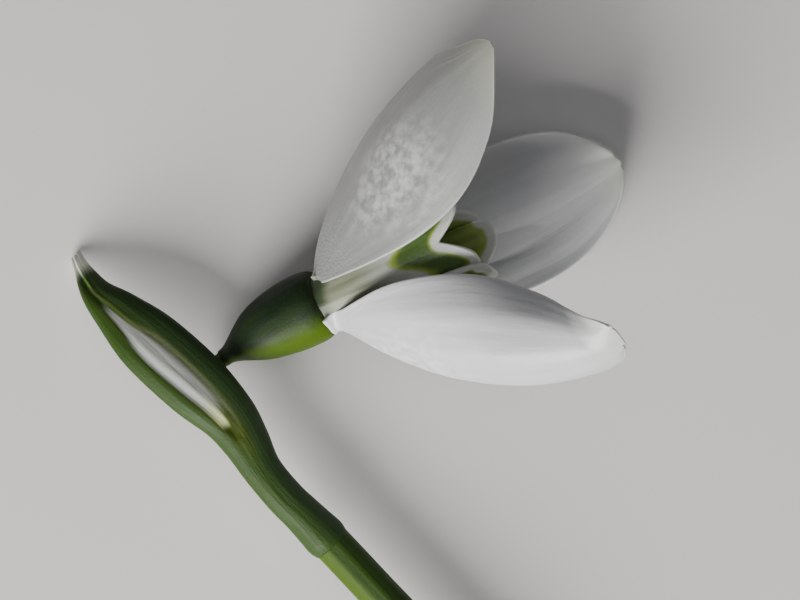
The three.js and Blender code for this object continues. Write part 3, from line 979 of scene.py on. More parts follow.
@dataclass
class OuterTepal:
    """One outer tepal: a spoon-shaped blade on a narrow claw, hooded at its tip.

    On it, u runs along from 0 at the foot to 1 at the tip and is below 0 on the auricle,
    and v runs across from -1 at the left margin to 1 at the right one.
    """

    side: str
    azimuth: float
    length: float
    width: float
    claw: float
    base_radius: float
    base_rise: float
    open_base: float
    open_tip: float
    kick: float
    hood: float
    side_bend: float
    tip_bend: float
    roll: float
    roll_more: float
    curl: float
    curl_more: float
    rise: float
    fall: float
    taper: float
    swell_left: float
    swell_right: float
    auricle: float = 0.3
    foot_more: float = 0.0
    foot_point: float = 0.0
    trims: tuple[Trim, ...] = ()
    end_reach: float = 0.35
    end_at: float = 0.0
    foot_curl: float = 2.6
    crease: float = 0.0
    rim_roll: float = 0.0
    apiculus: float = 0.0
    pucker: float = 0.0
    pucker_at: tuple[float, float] = (0.45, 0.1)
    rows: int = 110
    columns: int = 48
    thickness: float = 0.4
    furrow_depth: float = 0.09
    furrows: float = 2.5
    vein_depth: float = 0.008
    undulation: float = 0.12
    vein_count: float = 7.0
    waviness: float = 0.08
    seed: float = 0.0

    STEPS = 200
    LAST = 0.994
    CROWDING = 1.35
    HOOD_POWER = 6
    KICK_REACH = 0.08
    CURL_START = 0.08
    CLAW_FADE = 6
    SWELL_PLACE = 0.87
    SWELL_REACH = 0.08
    CREASE_START = (0.86, -0.85)
    CREASE_SLOPE = 12.0
    CREASE_REACH = 0.3
    PUCKER_REACH = (0.2, 0.55)
    VEIN_WANDER = 0.04
    AURICLE_SLOPES = (-0.4, 0.9)
    AURICLE_TAPER = 0.35
    AURICLE_LEAST = 0.04
    FOOT_REACH = 0.02
    FOOT_PULL = (0.4, 0.2, 1.5)
    ROLL_START = 0.72
    ROLL_RISE = (0.2, 0.5)
    ROLL_PULL = 0.8
    APICULUS_POWER = 60
    RIM_SHARE = 0.5
    RIM_POWER = 4

    def __post_init__(self) -> None:
        """Follows the midrib from claw to tip, and finds the widest place."""
        self._along, self._away = [0.0], [0.0]
        step = self.length / self.STEPS
        for index in range(self.STEPS):
            angle = self.heading((index + 0.5) / self.STEPS)
            self._along.append(self._along[-1] + math.cos(angle) * step)
            self._away.append(self._away[-1] + math.sin(angle) * step)
        self._fullest = max(self.outline(index / self.STEPS) for index in range(1, self.STEPS))

    def heading(self, u: float) -> float:
        """Angle between the midrib and the flower's axis, in radians."""
        return math.radians(
            self.open_base * (1 - u) + self.open_tip * u
            + self.kick * math.exp(-u / self.KICK_REACH) - self.hood * u ** self.HOOD_POWER
        )

    def midrib(self, u: float) -> tuple[float, float]:
        """Distance along the axis and away from it; before 0 the auricle lies back over the ovary.

        Args:
            u: place along the blade.

        Returns:
            Both distances in millimetres.
        """
        if u < 0:
            back = -u * self.length
            along, away = self.AURICLE_SLOPES
            return along * back, away * back
        place = u * self.STEPS
        low = min(int(place), self.STEPS - 1)
        part = place - low
        return tuple(lerp(way[low], way[low + 1], part) for way in (self._along, self._away))

    def outline(self, u: float) -> float:
        """Relative width of the blade."""
        return u ** self.rise * max(1 - u ** self.taper, 0.0) ** self.fall

    def half_width(self, u: float, v: float) -> float:
        """Half width in millimetres, on the side of v.

        Args:
            u: place along the blade.
            v: place across the blade.

        Returns:
            The half width.
        """
        foot = self.foot_more * bell(u, self.FOOT_REACH) if v < 0 else 0.0
        if u < 0:
            taper = self.AURICLE_TAPER * (u * self.length / self.auricle) ** 2
            return (self.claw + foot) * math.sqrt(max(1.0 - taper, self.AURICLE_LEAST))
        swell = self.swell_left if v < 0 else self.swell_right
        return foot + (
            self.width / 2 * self.outline(u) / self._fullest
            + self.claw * (1 - u) ** self.CLAW_FADE
            + swell * bell(u - self.SWELL_PLACE, self.SWELL_REACH)
        )

    def station(self, flat: Vector) -> float:
        """Place along the blade of a grid row, closer together towards the tip."""
        start = -self.auricle / self.length
        return start + (self.LAST - start) * (1 - (1 - share_along(flat)) ** self.CROWDING)

    def relief(self, u: float, v: float) -> float:
        """How far the face is sunk below the smooth blade: furrows, veins, puckers.

        Args:
            u: place along the blade.
            v: place across the blade.

        Returns:
            The depth in millimetres.
        """
        body = math.sin(math.pi * min(max(u, 0.0), 1.0))
        furrow = self.furrow_depth * body * (1 + math.cos(2 * math.pi * self.furrows * v)) / 2
        wander = v + self.VEIN_WANDER * ripple(u * 3, v * 2, self.seed)
        vein = self.vein_depth * body * math.cos(2 * math.pi * self.vein_count * wander)
        (u_pucker, v_pucker), (u_reach, v_reach) = self.pucker_at, self.PUCKER_REACH
        near = bell(u - u_pucker, u_reach) * bell(v - v_pucker, v_reach)
        quilt = ripple(u * self.length * 0.9, v * 4.5, self.seed + 5)
        quilt += 0.5 * ripple(u * 26, v * 9, self.seed + 9)
        uneven = self.undulation * ripple(u * 4, v * 1.6, self.seed + 3) * body
        start, side = self.CREASE_START
        line = side + self.CREASE_SLOPE * (u - start)
        crease = self.crease * ease(u, start - 0.05, start + 0.01) * bell(v - line, self.CREASE_REACH)
        return furrow + vein + uneven + crease + self.pucker * near * quilt

    def place(self, u: float, v: float) -> Vector:
        """Point of the outer face, in millimetres.

        Args:
            u: place along the blade.
            v: place across the blade.

        Returns:
            The point, from the middle of the part.
        """
        axis = LIE.axis
        outward, around = LIE.spoke(self.azimuth)
        along, away = self.midrib(u)
        angle = self.heading(u)
        inward = axis * math.sin(angle) - outward * math.cos(angle)
        twist = math.radians(self.roll + self.roll_more * u)
        across = around * math.cos(twist) + inward * math.sin(twist)
        hollow = inward * math.cos(twist) - around * math.sin(twist)
        curl = self.curl * (1 + self.curl_more * (u - 0.5))
        curl = lerp(self.foot_curl, curl, ease(u, 0.0, self.CURL_START))
        turn = v * self.half_width(u, v) / curl
        sunk = self.relief(u, v)
        wave = self.waviness * abs(v) ** 3 * ripple(u * 7, v, self.seed + 7)
        side = v if self.rim_roll > 0 else -v
        lift = abs(self.rim_roll) * ease(side, self.ROLL_START, 1.0) ** 2 * ease(u, *self.ROLL_RISE)
        point = LIE.root + axis * (self.base_rise + along) + outward * (self.base_radius + away)
        point += around * (self.side_bend * u ** 2 + self.tip_bend * u ** 5) * self.length
        point += across * ((curl - sunk) * math.sin(turn) + sum(trim.push(u, v) for trim in self.trims))
        point += hollow * (curl - (curl - sunk - wave) * math.cos(turn) + lift)
        point -= across * math.copysign(self.ROLL_PULL * lift, v)
        out, back, left = self.FOOT_PULL
        outwards = across * math.sin(turn) - hollow * math.cos(turn)
        point += (outwards * out - axis * back - across * left) * self.foot_point * self.foot_corner(u, v)
        ahead = self.apiculus * bell(v - self.end_at, self.end_reach) * max(u, 0.0) ** self.APICULUS_POWER
        return point + (axis * math.cos(angle) + outward * math.sin(angle)) * ahead

    def foot_corner(self, u: float, v: float) -> float:
        """Share of the left corner of the foot, which lies further back over the ovary's shoulder."""
        return min(max(-u, 0.0) * self.length / self.auricle, 1.0) * max(-v, 0.0) ** 2

    def build(self) -> Piece:
        """Shapes the blade from a grid, gives it its thickness and rounds its rim.

        Returns:
            The closed blade.
        """
        blade = fresh_grid(f"{self.side}_outer_tepal", self.columns, self.rows)

        def facts(flat: Vector) -> tuple[float, float, float]:
            """Place across, place along, and millimetres to the margin."""
            u = self.station(flat)
            return flat.x, u, min((1 - abs(flat.x)) * self.half_width(u, flat.x), (1 - u) * self.length)

        note(blade, "blade", facts)
        weigh(blade, "thick", lambda flat: thin_rim(flat, self.RIM_SHARE, self.RIM_POWER))
        shape(blade, lambda flat: self.place(self.station(flat), flat.x))
        turn_outwards(blade, self.place(0.5, 0.0), self.outer_direction())
        thicken(blade, self.thickness)
        return blade

    def outer_direction(self) -> Vector:
        """Direction that the outer face looks in, halfway along the blade."""
        axis = LIE.axis
        outward, _ = LIE.spoke(self.azimuth)
        angle = self.heading(0.5)
        return outward * math.cos(angle) - axis * math.sin(angle)

    def make(self, finish: Material) -> None:
        """Builds, dresses and hands in the tepal."""
        hand_in(self.build(), [f"outer_tepal_{self.side}"], [finish])


# --------------------------------------------------------------- inner tepals


@dataclass
class InnerTepal:
    """One inner tepal: an upright blade of the cup, with a notch in its end."""

    side: str
    azimuth: float
    half_arc: float
    length: float
    lean: float = 0.0
    base_radius: float = 1.78
    mouth_radius: float = 3.0
    swell: float = 5.0
    claw_angle: float = 35.0
    widen: float = 4.5
    notch_depth: float = 1.85
    notch_curve: float = 1.5
    lobe_place: float = 0.6
    corner_place: float = 0.8
    corner_fall: float = 1.1
    narrowing: float = 0.1
    flare: float = 0.2
    thickness: float = 0.5
    mark_start: float = 5.8
    mark_rise: float = 2.4
    mark_spread: float = 0.35
    side_spread: float = 2.0
    left_inset: float = 0.0
    foot_flare: float = 0.05
    foot_reach: float = 0.9
    rows: int = 72
    columns: int = 56
    seed: float = 0.0
    join_gap: float = -0.36

    END_STEPS = 60
    NARROWING_POWER = 8
    RIDGES = 3.5
    RIDGE_HEIGHT = 0.02
    WAVE_HEIGHT = 0.06
    FLARE_REACH = 2.6
    FLARE_POWER = 0.8
    LEAN_RISE = (1.5, 6.0)
    RIM_SHARE = 0.62
    RIM_POWER = 6

    def __post_init__(self) -> None:
        """Lays the notched end out flat, to measure how far a point is from it."""
        steps = range(-self.END_STEPS, self.END_STEPS + 1)
        self._end = [self.flat(1.0, step / self.END_STEPS) for step in steps]

    def notch(self, v: float) -> float:
        """How far short of the full length the blade ends, at v.

        Args:
            v: place across the blade, -1 at its left margin and 1 at its right one.

        Returns:
            The missing length in millimetres.
        """
        side = abs(v)
        notch = self.notch_depth * max(1 - side / self.lobe_place, 0.0) ** self.notch_curve
        corner = self.corner_fall * max((side - self.corner_place) / (1 - self.corner_place), 0.0) ** 2
        return notch + corner

    def radius(self, x: float) -> float:
        """Distance of the outer face from the axis, x along it."""
        whole = 1 - math.exp(-self.length / self.swell)
        widening = self.mouth_radius - self.base_radius
        return self.base_radius + widening * (1 - math.exp(-x / self.swell)) / whole

    def reach(self, u: float, x: float) -> float:
        """Half the arc that the blade takes, in degrees."""
        widening = 1 - math.exp(-((x / self.widen) ** 2))
        narrow = 1 - self.narrowing * u ** self.NARROWING_POWER
        return lerp(self.claw_angle, self.half_arc, widening) * narrow

    def place(self, u: float, v: float) -> Vector:
        """Point of the outer face, in millimetres.

        Args:
            u: place along the blade, 0 at its foot and 1 at its end.
            v: place across the blade, -1 at its left margin and 1 at its right one.

        Returns:
            The point, from the middle of the part.
        """
        x = u * (self.length - self.notch(v))
        outward, _ = LIE.spoke(self.azimuth + v * self.reach(u, x))
        ridge = self.RIDGE_HEIGHT * math.cos(2 * math.pi * self.RIDGES * v) * math.sin(math.pi * u)
        wave = self.WAVE_HEIGHT * ripple(x * 0.5, v * 3, self.seed)
        flare = self.flare * ease(x, self.length - self.FLARE_REACH, self.length) * abs(v) ** self.FLARE_POWER
        flare += self.foot_flare * (1 - ease(x, 0.0, self.foot_reach))
        radius = self.radius(x) + ridge + wave + flare + self.lean * v * ease(x, *self.LEAN_RISE)
        return LIE.root + LIE.axis * (x + self.join_gap) + outward * radius

    def flat(self, u: float, v: float) -> tuple[float, float]:
        """Millimetres round from the midrib, and along from the foot, with the blade laid out flat."""
        x = u * (self.length - self.notch(v))
        return v * math.radians(self.reach(u, x)) * self.radius(x), x

    def facts(self, grid: Vector) -> tuple[float, float, float]:
        """Place across, millimetres to the margin, and millimetres into the green mark.

        Args:
            grid: the vertex on the flat grid.

        Returns:
            The three numbers.
        """
        u, v = share_along(grid), grid.x
        round_by, x = self.flat(u, v)
        to_end = min(math.hypot(round_by - a, x - b) for a, b in self._end)
        to_side = (1 - abs(v)) * math.radians(self.reach(u, x)) * self.radius(x) * self.side_spread
        to_side += self.left_inset if v < 0 else 0.0
        start = self.mark_start + self.mark_rise * (1 - bell(v, self.mark_spread))
        return v, min(to_end, to_side), x - start

    def build(self) -> Piece:
        """Shapes the blade from a grid, gives it its thickness and rounds its rim.

        Returns:
            The closed blade, its inner face on the second material slot.
        """
        blade = fresh_grid(f"{self.side}_inner_tepal", self.columns, self.rows)
        note(blade, "cup", self.facts)
        note(blade, "blade", lambda flat: (flat.x, share_along(flat), self.facts(flat)[1]))
        weigh(blade, "thick", lambda flat: thin_rim(flat, self.RIM_SHARE, self.RIM_POWER))
        shape(blade, lambda flat: self.place(share_along(flat), flat.x))
        outward, _ = LIE.spoke(self.azimuth)
        turn_outwards(blade, self.place(0.5, 0.0), outward)
        open_slots(blade, 2)
        thicken(blade, self.thickness, material_offset=1)
        return blade

    def make(self, outside: Material, inside: Material) -> None:
        """Builds, dresses and hands in the tepal."""
        hand_in(self.build(), [f"inner_tepal_{self.side}"], [outside, inside])


# ------------------------------------------------------------------ the ovary


@dataclass
class Ovary:
    """Top-shaped ovary, from a narrow neck to the shoulder under the tepals."""

    neck: Point = (-11.5, -3.85, 1.2)
    bow: Point = (-0.1, 0.17, 0.0)
    profile: tuple[tuple[float, float], ...] = (
        (0, 0.58), (0.06, 0.63), (0.13, 0.87), (0.21, 1.22), (0.33, 1.7),
        (0.47, 2.05), (0.66, 2.3), (0.84, 2.38), (0.94, 2.26), (0.98, 2.02), (1, 1.7),
    )
    rings: int = 60
    sides: int = 56
    ribs: int = 6
    rib_height: float = 0.035
    unevenness: float = 0.03

    PATH_STEPS = 40

    def build(self) -> Piece:
        """Shapes the ovary from an extruded rod.

        Returns:
            The closed ovary.
        """
        neck = LIE.inside(self.neck)
        top = LIE.root - LIE.axis * JOIN
        bow = Vector(self.bow)
        reach = (top - neck).length / 3
        ends = (neck, neck.lerp(top, 1 / 3) + bow * 2, top - LIE.axis * reach, top)
        girth = Spline([(share, radius, 0.0) for share, radius in self.profile])

        def line(t: float) -> Vector:
            """Point of the centre line, which is a Bezier curve, at a share of it."""
            a, b, c, d = ends
            return a * (1 - t) ** 3 + b * 3 * t * (1 - t) ** 2 + c * 3 * t * t * (1 - t) + d * t ** 3

        path = Spline([line(step / self.PATH_STEPS) for step in range(self.PATH_STEPS + 1)])
        ovary = fresh_rod("ovary_body", self.sides, self.rings)

        def place(rod: Vector) -> Vector:
            """Place on the ovary of a point of the rod."""
            share, radius = girth.at(rod.z / self.rings)[:2]
            at = path.even(share)
            centre = Vector(path.at(at)[:3])
            sideways, upward = section_axes(path.direction(at))
            angle = math.atan2(rod.y, rod.x)
            rib = self.rib_height * math.cos(self.ribs * angle) * math.sin(math.pi * share)
            uneven = self.unevenness * ripple(share * 5, math.cos(angle) * 2, 4.0 + math.sin(angle))
            size = (radius + rib + uneven) * math.hypot(rod.x, rod.y)
            return centre + (sideways * math.cos(angle) + upward * math.sin(angle)) * size

        shape(ovary, place)
        face_outwards(ovary)
        subdivide(ovary, 1)
        return ovary

    def make(self, skin: Material) -> None:
        """Builds, dresses and hands in the ovary."""
        hand_in(self.build(), ["ovary"], [skin])


# ------------------------------------------------------- scape and pedicel


@dataclass
class Stalk:
    """A round stalk along a path: the scape with its slanting cut, or the pedicel."""

    name: str
    node: str
    radius: float
    path: tuple[Point, ...]
    rings: int
    sides: int
    slant: float = 0.0
    ridge: float = 0.02
    ridges: int = 9
    unevenness: float = 0.02
    seed: float = 0.0

    SLANT_FADE = 40
    EDGE_INSET = 0.08
    INNER_INSET = 0.5
    CUT_REACH = 1.3
    CUT_COSINE = -0.6

    def build(self) -> Piece:
        """Shapes the stalk from an extruded rod.

        Returns:
            The closed stalk, its cut end on the second material slot.
        """
        stalk = fresh_rod(self.name, self.sides, self.rings)
        path = Spline([LIE.inside(point) for point in self.path])

        def place(rod: Vector) -> Vector:
            """Place on the stalk of a point of the rod."""
            share = rod.z / self.rings
            at = path.even(share)
            centre = Vector(path.at(at)[:3])
            direction = path.direction(at)
            sideways, upward = section_axes(direction)
            angle = math.atan2(rod.y, rod.x)
            drift = 2 * ripple(share * 2, 0.0, self.seed)
            size = self.radius + self.ridge * math.cos(self.ridges * angle + drift)
            size += self.unevenness * ripple(share * 12, angle, self.seed)
            size *= math.hypot(rod.x, rod.y)
            cosine, sine = math.cos(angle), math.sin(angle)
            lean = math.tan(math.radians(self.slant)) * size * sine * (1 - share) ** self.SLANT_FADE
            return centre + sideways * size * cosine + upward * size * sine + direction * lean

        self.inset_ends(stalk)
        shape(stalk, place)
        face_outwards(stalk)
        self.mark_cut(stalk, LIE.inside(self.path[0]) * MM, path.direction(0.0))
        subdivide(stalk, 1)
        return stalk

    def inset_ends(self, stalk: Piece) -> None:
        """Insets both end faces, so that rounding leaves them flat with a narrow edge."""
        with edit_mode(stalk, "DESELECT"):
            for end in (-1.0, 1.0):
                select_end(stalk, end)
                bpy.ops.mesh.inset(thickness=self.EDGE_INSET, depth=0.0)
                bpy.ops.mesh.inset(thickness=self.INNER_INSET, depth=0.0)

    def mark_cut(self, stalk: Piece, cut: Vector, direction: Vector) -> None:
        """Puts the faces of the cut end on the second material slot.

        Args:
            stalk: the shaped stalk.
            cut: middle of the cut, in metres.
            direction: which way the stalk leaves the cut.
        """
        open_slots(stalk, 2)
        reach = self.radius * self.CUT_REACH * MM
        for face in stalk.data.polygons:
            if (face.center - cut).length < reach and face.normal.dot(direction) < self.CUT_COSINE:
                face.material_index = 1

    def make(self, skin: Material, cut: Material) -> None:
        """Builds, dresses and hands in the stalk."""
        hand_in(self.build(), [self.node], [skin, cut])


# ------------------------------------------------------------------ spathe


@dataclass(frozen=True)
class Knot:
    """A knot of the spathe: centre, half width, half depth, and degrees from its top to the slit."""

    at: Point
    half: float
    deep: float
    lip: float


@dataclass
class Spathe:
    """Two keeled green bracts joined by a thin membrane, slit underneath, round the foot of the pedicel."""

    knots: tuple[Knot, ...]
    rows: int = 200
    columns: int = 64
    wall: float = 0.42
    keel_place: float = 72.0
    keel_reach: float = 30.0
    keel_height: float = 0.3
    membrane_dip: float = 0.28
    membrane_reach: float = 38.0
    window_edges: tuple[tuple[float, float], ...] = (
        (-20.0, -4.0), (-31.0, 8.0), (-29.0, 14.0), (-31.0, 18.0),
        (-33.0, 17.0), (-25.0, 3.0), (-22.0, -4.0), (-12.0, -7.0),
    )
    window_step: float = 0.2
    seam_step: float = 0.22
    foot_share: float = 0.84
    foot_reach: float = 0.8
    points: float = 0.3
    seed: float = 2.0

    WINDOW_FOOT = 0.38
    WINDOW_TOP = 0.81
    WINDOW_EDGE = (-0.25, 0.35)
    ROUND_ENDS = 0.5
    FULL_KEEL = 2.2
    KEEL_RISE = 5
    KEEL_LIFT = 0.6
    FOLD_HEIGHT = 0.03
    LEFT_GREEN = (-35.0, 25.0)
    SEAM_GREEN = (0.74, 0.84)
    SEAM_RISE = (0.72, 0.84)
    SEAM_REACH = 32.0
    POINT_PLACE = 0.5
    POINT_REACH = 0.35
    POINT_POWER = 40
    THIN_TIP = 0.55
    RIM_SHARE = 0.5
    RIM_POWER = 6

    def __post_init__(self) -> None:
        """Lays the centre line and the girth along it."""
        self.line = Spline([LIE.inside(knot.at) for knot in self.knots])
        self.girth = Spline([(knot.half, knot.deep, knot.lip) for knot in self.knots])
        self.edges = Spline([(0.0, left, right) for left, right in self.window_edges])

    def window(self, share: float) -> tuple[float, float]:
        """Angles of the membrane's window on the left and on the right, in degrees."""
        _, left, right = self.edges.at((share - self.WINDOW_FOOT) / (self.WINDOW_TOP - self.WINDOW_FOOT))
        return left, right

    def into_window(self, share: float, degrees: float) -> float:
        """Millimetres into the membrane's window, negative outside it.

        Args:
            share: place along the spathe.
            degrees: angle from its top, negative to the left.

        Returns:
            The distance.
        """
        half, _, _ = self.girth.at(share)
        left, right = self.window(share)
        sideways = min(degrees - left, right - degrees) * math.radians(1) * half
        past = min(share - self.WINDOW_FOOT, self.WINDOW_TOP - share) * self.line.lengths[-1]
        return min(sideways, past * self.ROUND_ENDS)

    def facts(self, flat: Vector) -> tuple[float, float, float]:
        """Angle as a share of half a turn, place along, and millimetres into the window.

        Args:
            flat: the vertex on the flat grid.

        Returns:
            The three numbers.
        """
        share = share_along(flat)
        _, _, lip = self.girth.at(share)
        degrees = lip * flat.x
        return degrees / 180, share, self.into_window(share, degrees)

    def more_facts(self, flat: Vector) -> tuple[float, float, float]:
        """Millimetres to the lip, 1 on the left keel and 0 on the right one, and place across the window.

        Args:
            flat: the vertex on the flat grid.

        Returns:
            The three numbers.
        """
        share = share_along(flat)
        half, _, lip = self.girth.at(share)
        left, right = self.window(share)
        across = min(max((lip * flat.x - left) / (right - left), 0.0), 1.0)
        begin, end = self.LEFT_GREEN
        begin = lerp(begin, -SEAM.at(share), ease(share, *self.SEAM_GREEN))
        return math.radians(lip * (1 - abs(flat.x))) * half, ease(-flat.x * lip, begin, end), across

    def place(self, share: float, across: float) -> Vector:
        """Point of the outer face, in millimetres.

        Args:
            share: place along the spathe.
            across: place round it, -1 at its left lip and 1 at its right one.

        Returns:
            The point, from the middle of the part.
        """
        centre = Vector(self.line.at(share)[:3])
        sideways, upward = section_axes(self.line.direction(share))
        half, deep, lip = self.girth.at(share)
        up_from_foot = min(share * self.line.lengths[-1] / self.foot_reach, 1.0)
        rounding = lerp(self.foot_share, 1.0, math.sin(up_from_foot * math.pi / 2))
        half, deep = half * rounding, deep * rounding
        degrees = lip * across
        angle = math.radians(degrees)
        keel_share = min(half / self.FULL_KEEL, 1.0) * min(share * self.KEEL_RISE, 1.0)
        keel = self.keel_height * keel_share * bell(abs(degrees) - self.keel_place, self.keel_reach)
        dip = self.membrane_dip * keel_share * bell(degrees, self.membrane_reach)
        dip += self.window_step * keel_share * ease(self.into_window(share, degrees), *self.WINDOW_EDGE)
        below = SEAM.at(share) - degrees
        seam = self.seam_step * ease(share, *self.SEAM_RISE) * ease(below, -SEAM.width, SEAM.width)
        dip += seam * bell(below, self.SEAM_REACH)
        folds = self.FOLD_HEIGHT * keel_share * ripple(degrees * 0.12, share * 4, self.seed)
        out = (half - self.keel_height * keel_share + keel + folds) * math.sin(angle)
        up = (deep + self.KEEL_LIFT * keel - dip + folds) * math.cos(angle)
        ahead = self.points * bell(across - self.POINT_PLACE, self.POINT_REACH) * share ** self.POINT_POWER
        return centre + sideways * out + upward * up + self.line.direction(share) * ahead

    def build(self) -> Piece:
        """Shapes the spathe from a grid that is rolled up, and gives it its wall.

        Returns:
            The closed wall of the spathe.
        """
        sheet = fresh_grid("spathe_wall", self.columns, self.rows)
        note(sheet, "sheath", self.facts)
        note(sheet, "sheath_more", self.more_facts)
        weigh(sheet, "thick", self.wall_weight)
        shape(sheet, lambda flat: self.place(share_along(flat), flat.x))
        _, upward = section_axes(self.line.direction(0.5))
        turn_outwards(sheet, self.place(0.5, 0.0), upward)
        thicken(sheet, self.wall)
        return sheet

    def wall_weight(self, flat: Vector) -> float:
        """Thickness as a share of the wall's: thin at the tip and at the lips."""
        half, _, _ = self.girth.at(share_along(flat))
        rim = lerp(1.0, self.RIM_SHARE, abs(flat.x) ** self.RIM_POWER)
        return min(1.0, self.THIN_TIP * half / self.wall) * rim

    def make(self, skin: Material) -> None:
        """Builds, dresses and hands in the spathe."""
        hand_in(self.build(), ["spathe"], [skin])


# ---------------------------------------------------------- stamens and style


@dataclass
class Organ:
    """A slender round organ on top of the ovary, its girth read from heights and radii."""

    name: str
    nodes: tuple[str, ...]
    slot: str
    profile: tuple[tuple[float, float], ...]
    azimuth: float = 0.0
    radius: float = 0.0
    lean: float = 0.0
    sides: int = 16
    rings: int = 24
    groove: float = 0.0

    GROOVES = 4

    def make(self, skin: Material) -> None:
        """Builds, dresses and hands in the organ.

        Args:
            skin: its finish.
        """
        outward, _ = LIE.spoke(self.azimuth)
        lean = math.radians(self.lean)
        direction = (LIE.axis * math.cos(lean) - outward * math.sin(lean)).normalized()
        foot = LIE.root + outward * self.radius + LIE.axis * JOIN
        girth = Spline([(height, radius, 0.0) for height, radius in self.profile])
        organ = fresh_rod(self.name, self.sides, self.rings)
        sideways, upward = section_axes(direction)

        def place(rod: Vector) -> Vector:
            """Place on the organ of a point of the rod."""
            height, radius = girth.at(rod.z / self.rings)[:2]
            angle = math.atan2(rod.y, rod.x)
            hollow = self.groove * (0.5 + 0.5 * math.cos(self.GROOVES * angle))
            size = radius * (1 - hollow) * math.hypot(rod.x, rod.y)
            return foot + direction * height + (sideways * math.cos(angle) + upward * math.sin(angle)) * size

        shape(organ, place)
        face_outwards(organ)
        subdivide(organ, 1)
        hand_in(organ, self.nodes, [skin])


# -------------------------------------------------------------------- studio


@dataclass(frozen=True)
class Lamp:
    """A square soft light: its place and the length of its sides in metres, and its power in watts."""

    name: str
    place: Point
    side: float
    power: float
    colour: Colour


@dataclass
class Studio:
    """Pale floor, soft lights and the camera that looks down on the flower."""

    lamps: tuple[Lamp, ...] = (
        Lamp("key_light", (-0.19, -0.37, 0.20), 0.30, 5.5, (1.0, 0.985, 0.965)),
        Lamp("fill_light", (0.02, 0.04, 0.55), 0.45, 0.42, (0.985, 0.99, 1.0)),
    )
    lit: Point = (0.0, 0.012, 0.006)
    surround: Colour = (0.96, 0.965, 1.0)
    surround_strength: float = 0.085
    floor_size: float = 3.0
    floor_colour: Colour = (0.76, 0.745, 0.735)
    floor_roughness: float = 0.75
    floor_gloss: float = 0.2
    target: Point = (-0.18, 15.34, 1.45)
    back: Point = (-0.094, -0.046, 1.0)
    distance: float = 250.0
    focal_length: float = 173.08
    sensor: float = 36.0

    def lay_floor(self) -> None:
        """Adds the floor that the flower lies on."""
        clear_selection()
        bpy.ops.mesh.primitive_plane_add(size=self.floor_size)
        floor = named("floor")
        bench = Bench("plain_floor")
        bench.set(
            Base_Color=self.floor_colour, Roughness=self.floor_roughness, Specular_IOR_Level=self.floor_gloss
        )
        floor.data.materials.append(bench.material)

    def hang(self, lamp: Lamp) -> None:
        """Hangs a light that looks at the flower.

        Args:
            lamp: the light.
        """
        data = bpy.data.lights.new(lamp.name, "AREA")
        data.size = lamp.side
        data.energy = lamp.power
        data.color = lamp.colour
        light = bpy.data.objects.new(lamp.name, data)
        light.location = lamp.place
        away = Vector(lamp.place) - Vector(self.lit)
        light.rotation_euler = away.to_track_quat("Z", "Y").to_euler()
        bpy.context.scene.collection.objects.link(light)

    def light(self) -> None:
        """Hangs a key light at the lower left, a fill overhead, and a faint even surround."""
        for lamp in self.lamps:
            self.hang(lamp)
        world = bpy.data.worlds.new("surround")
        world.use_nodes = True
        background = world.node_tree.nodes["Background"]
        background.inputs["Color"].default_value = (*self.surround, 1.0)
        background.inputs["Strength"].default_value = self.surround_strength
        bpy.context.scene.world = world

    def set_camera(self) -> None:
        """Sets the camera above the flower."""
        data = bpy.data.cameras.new("camera")
        data.lens = self.focal_length
        data.sensor_width = self.sensor
        data.sensor_fit = "HORIZONTAL"
        data.clip_start = 0.01
        camera = bpy.data.objects.new("camera", data)
        back = Vector(self.back).normalized()
        up = Vector((0.0, 1.0, 0.0))
        up = (up - back * up.dot(back)).normalized()
        right = up.cross(back)
        turn = Matrix((right, up, back)).transposed().to_4x4()
        camera.matrix_world = Matrix.Translation((Vector(self.target) + back * self.distance) * MM) @ turn
        bpy.context.scene.collection.objects.link(camera)
        bpy.context.scene.camera = camera

    def set_up(self) -> None:
        """Lays the floor, hangs the lights and sets the camera."""
        self.set_camera()
        self.lay_floor()
        self.light()


# ------------------------------------------------------------------ assembly

OUTER_TEPALS = (
    OuterTepal(
        side="upper", azimuth=56.3, length=21.0, width=11.4, claw=0.58, base_radius=1.91, base_rise=0.03,
        open_base=43.6, open_tip=14.7, kick=-13.2, hood=0.0, side_bend=-0.013, tip_bend=-0.011,
        roll=19.5, roll_more=8.8, curl=6.75, curl_more=-0.84, rise=1.04, fall=0.82, taper=1.03,
        swell_left=-0.95, swell_right=0.16, trims=(Trim(-1, 0.0, 0.03, -0.3),), pucker=0.035, auricle=0.1,
        waviness=0.04, furrow_depth=0.035, seed=1.0,
    ),
    OuterTepal(
        side="lower", azimuth=-63.0, length=21.1, width=14.0, claw=0.7, base_radius=1.97, base_rise=0.02,
        open_base=55.4, open_tip=8.4, kick=-15.0, hood=16.6, side_bend=-0.005, tip_bend=-0.012,
        roll=-10.8, roll_more=-14.4, curl=4.02, curl_more=-0.97, rise=0.76, fall=0.67, taper=0.9,
        swell_left=-0.22, swell_right=-0.13, pucker=0.05, auricle=0.35, foot_more=0.5, foot_point=0.55,
        trims=(
            Trim(-1, 0.07, 0.085, -0.42), Trim(1, 0.055, 0.045, -0.45), Trim(1, 0.33, 0.15, 0.47),
            Trim(-1, 1.0, 0.05, 1.1), Trim(1, 1.0, 0.03, -0.22),
        ),
        apiculus=0.5, end_reach=0.75, end_at=-0.3, crease=0.03, seed=12.0,
    ),
    OuterTepal(
        side="back", azimuth=177.1, length=21.45, width=11.4, claw=0.74, base_radius=1.85, base_rise=0.09,
        open_base=39.6, open_tip=7.3, kick=12.0, hood=25.6, side_bend=0.003, tip_bend=-0.003,
        roll=6.6, roll_more=8.8, curl=7.0, curl_more=0.04, rise=0.86, fall=0.59, taper=1.15,
        swell_left=-0.08, swell_right=0.0, rim_roll=-0.14, apiculus=0.22, undulation=0.16,
        furrow_depth=0.2, furrows=1.5, seed=23.0,
    ),
)
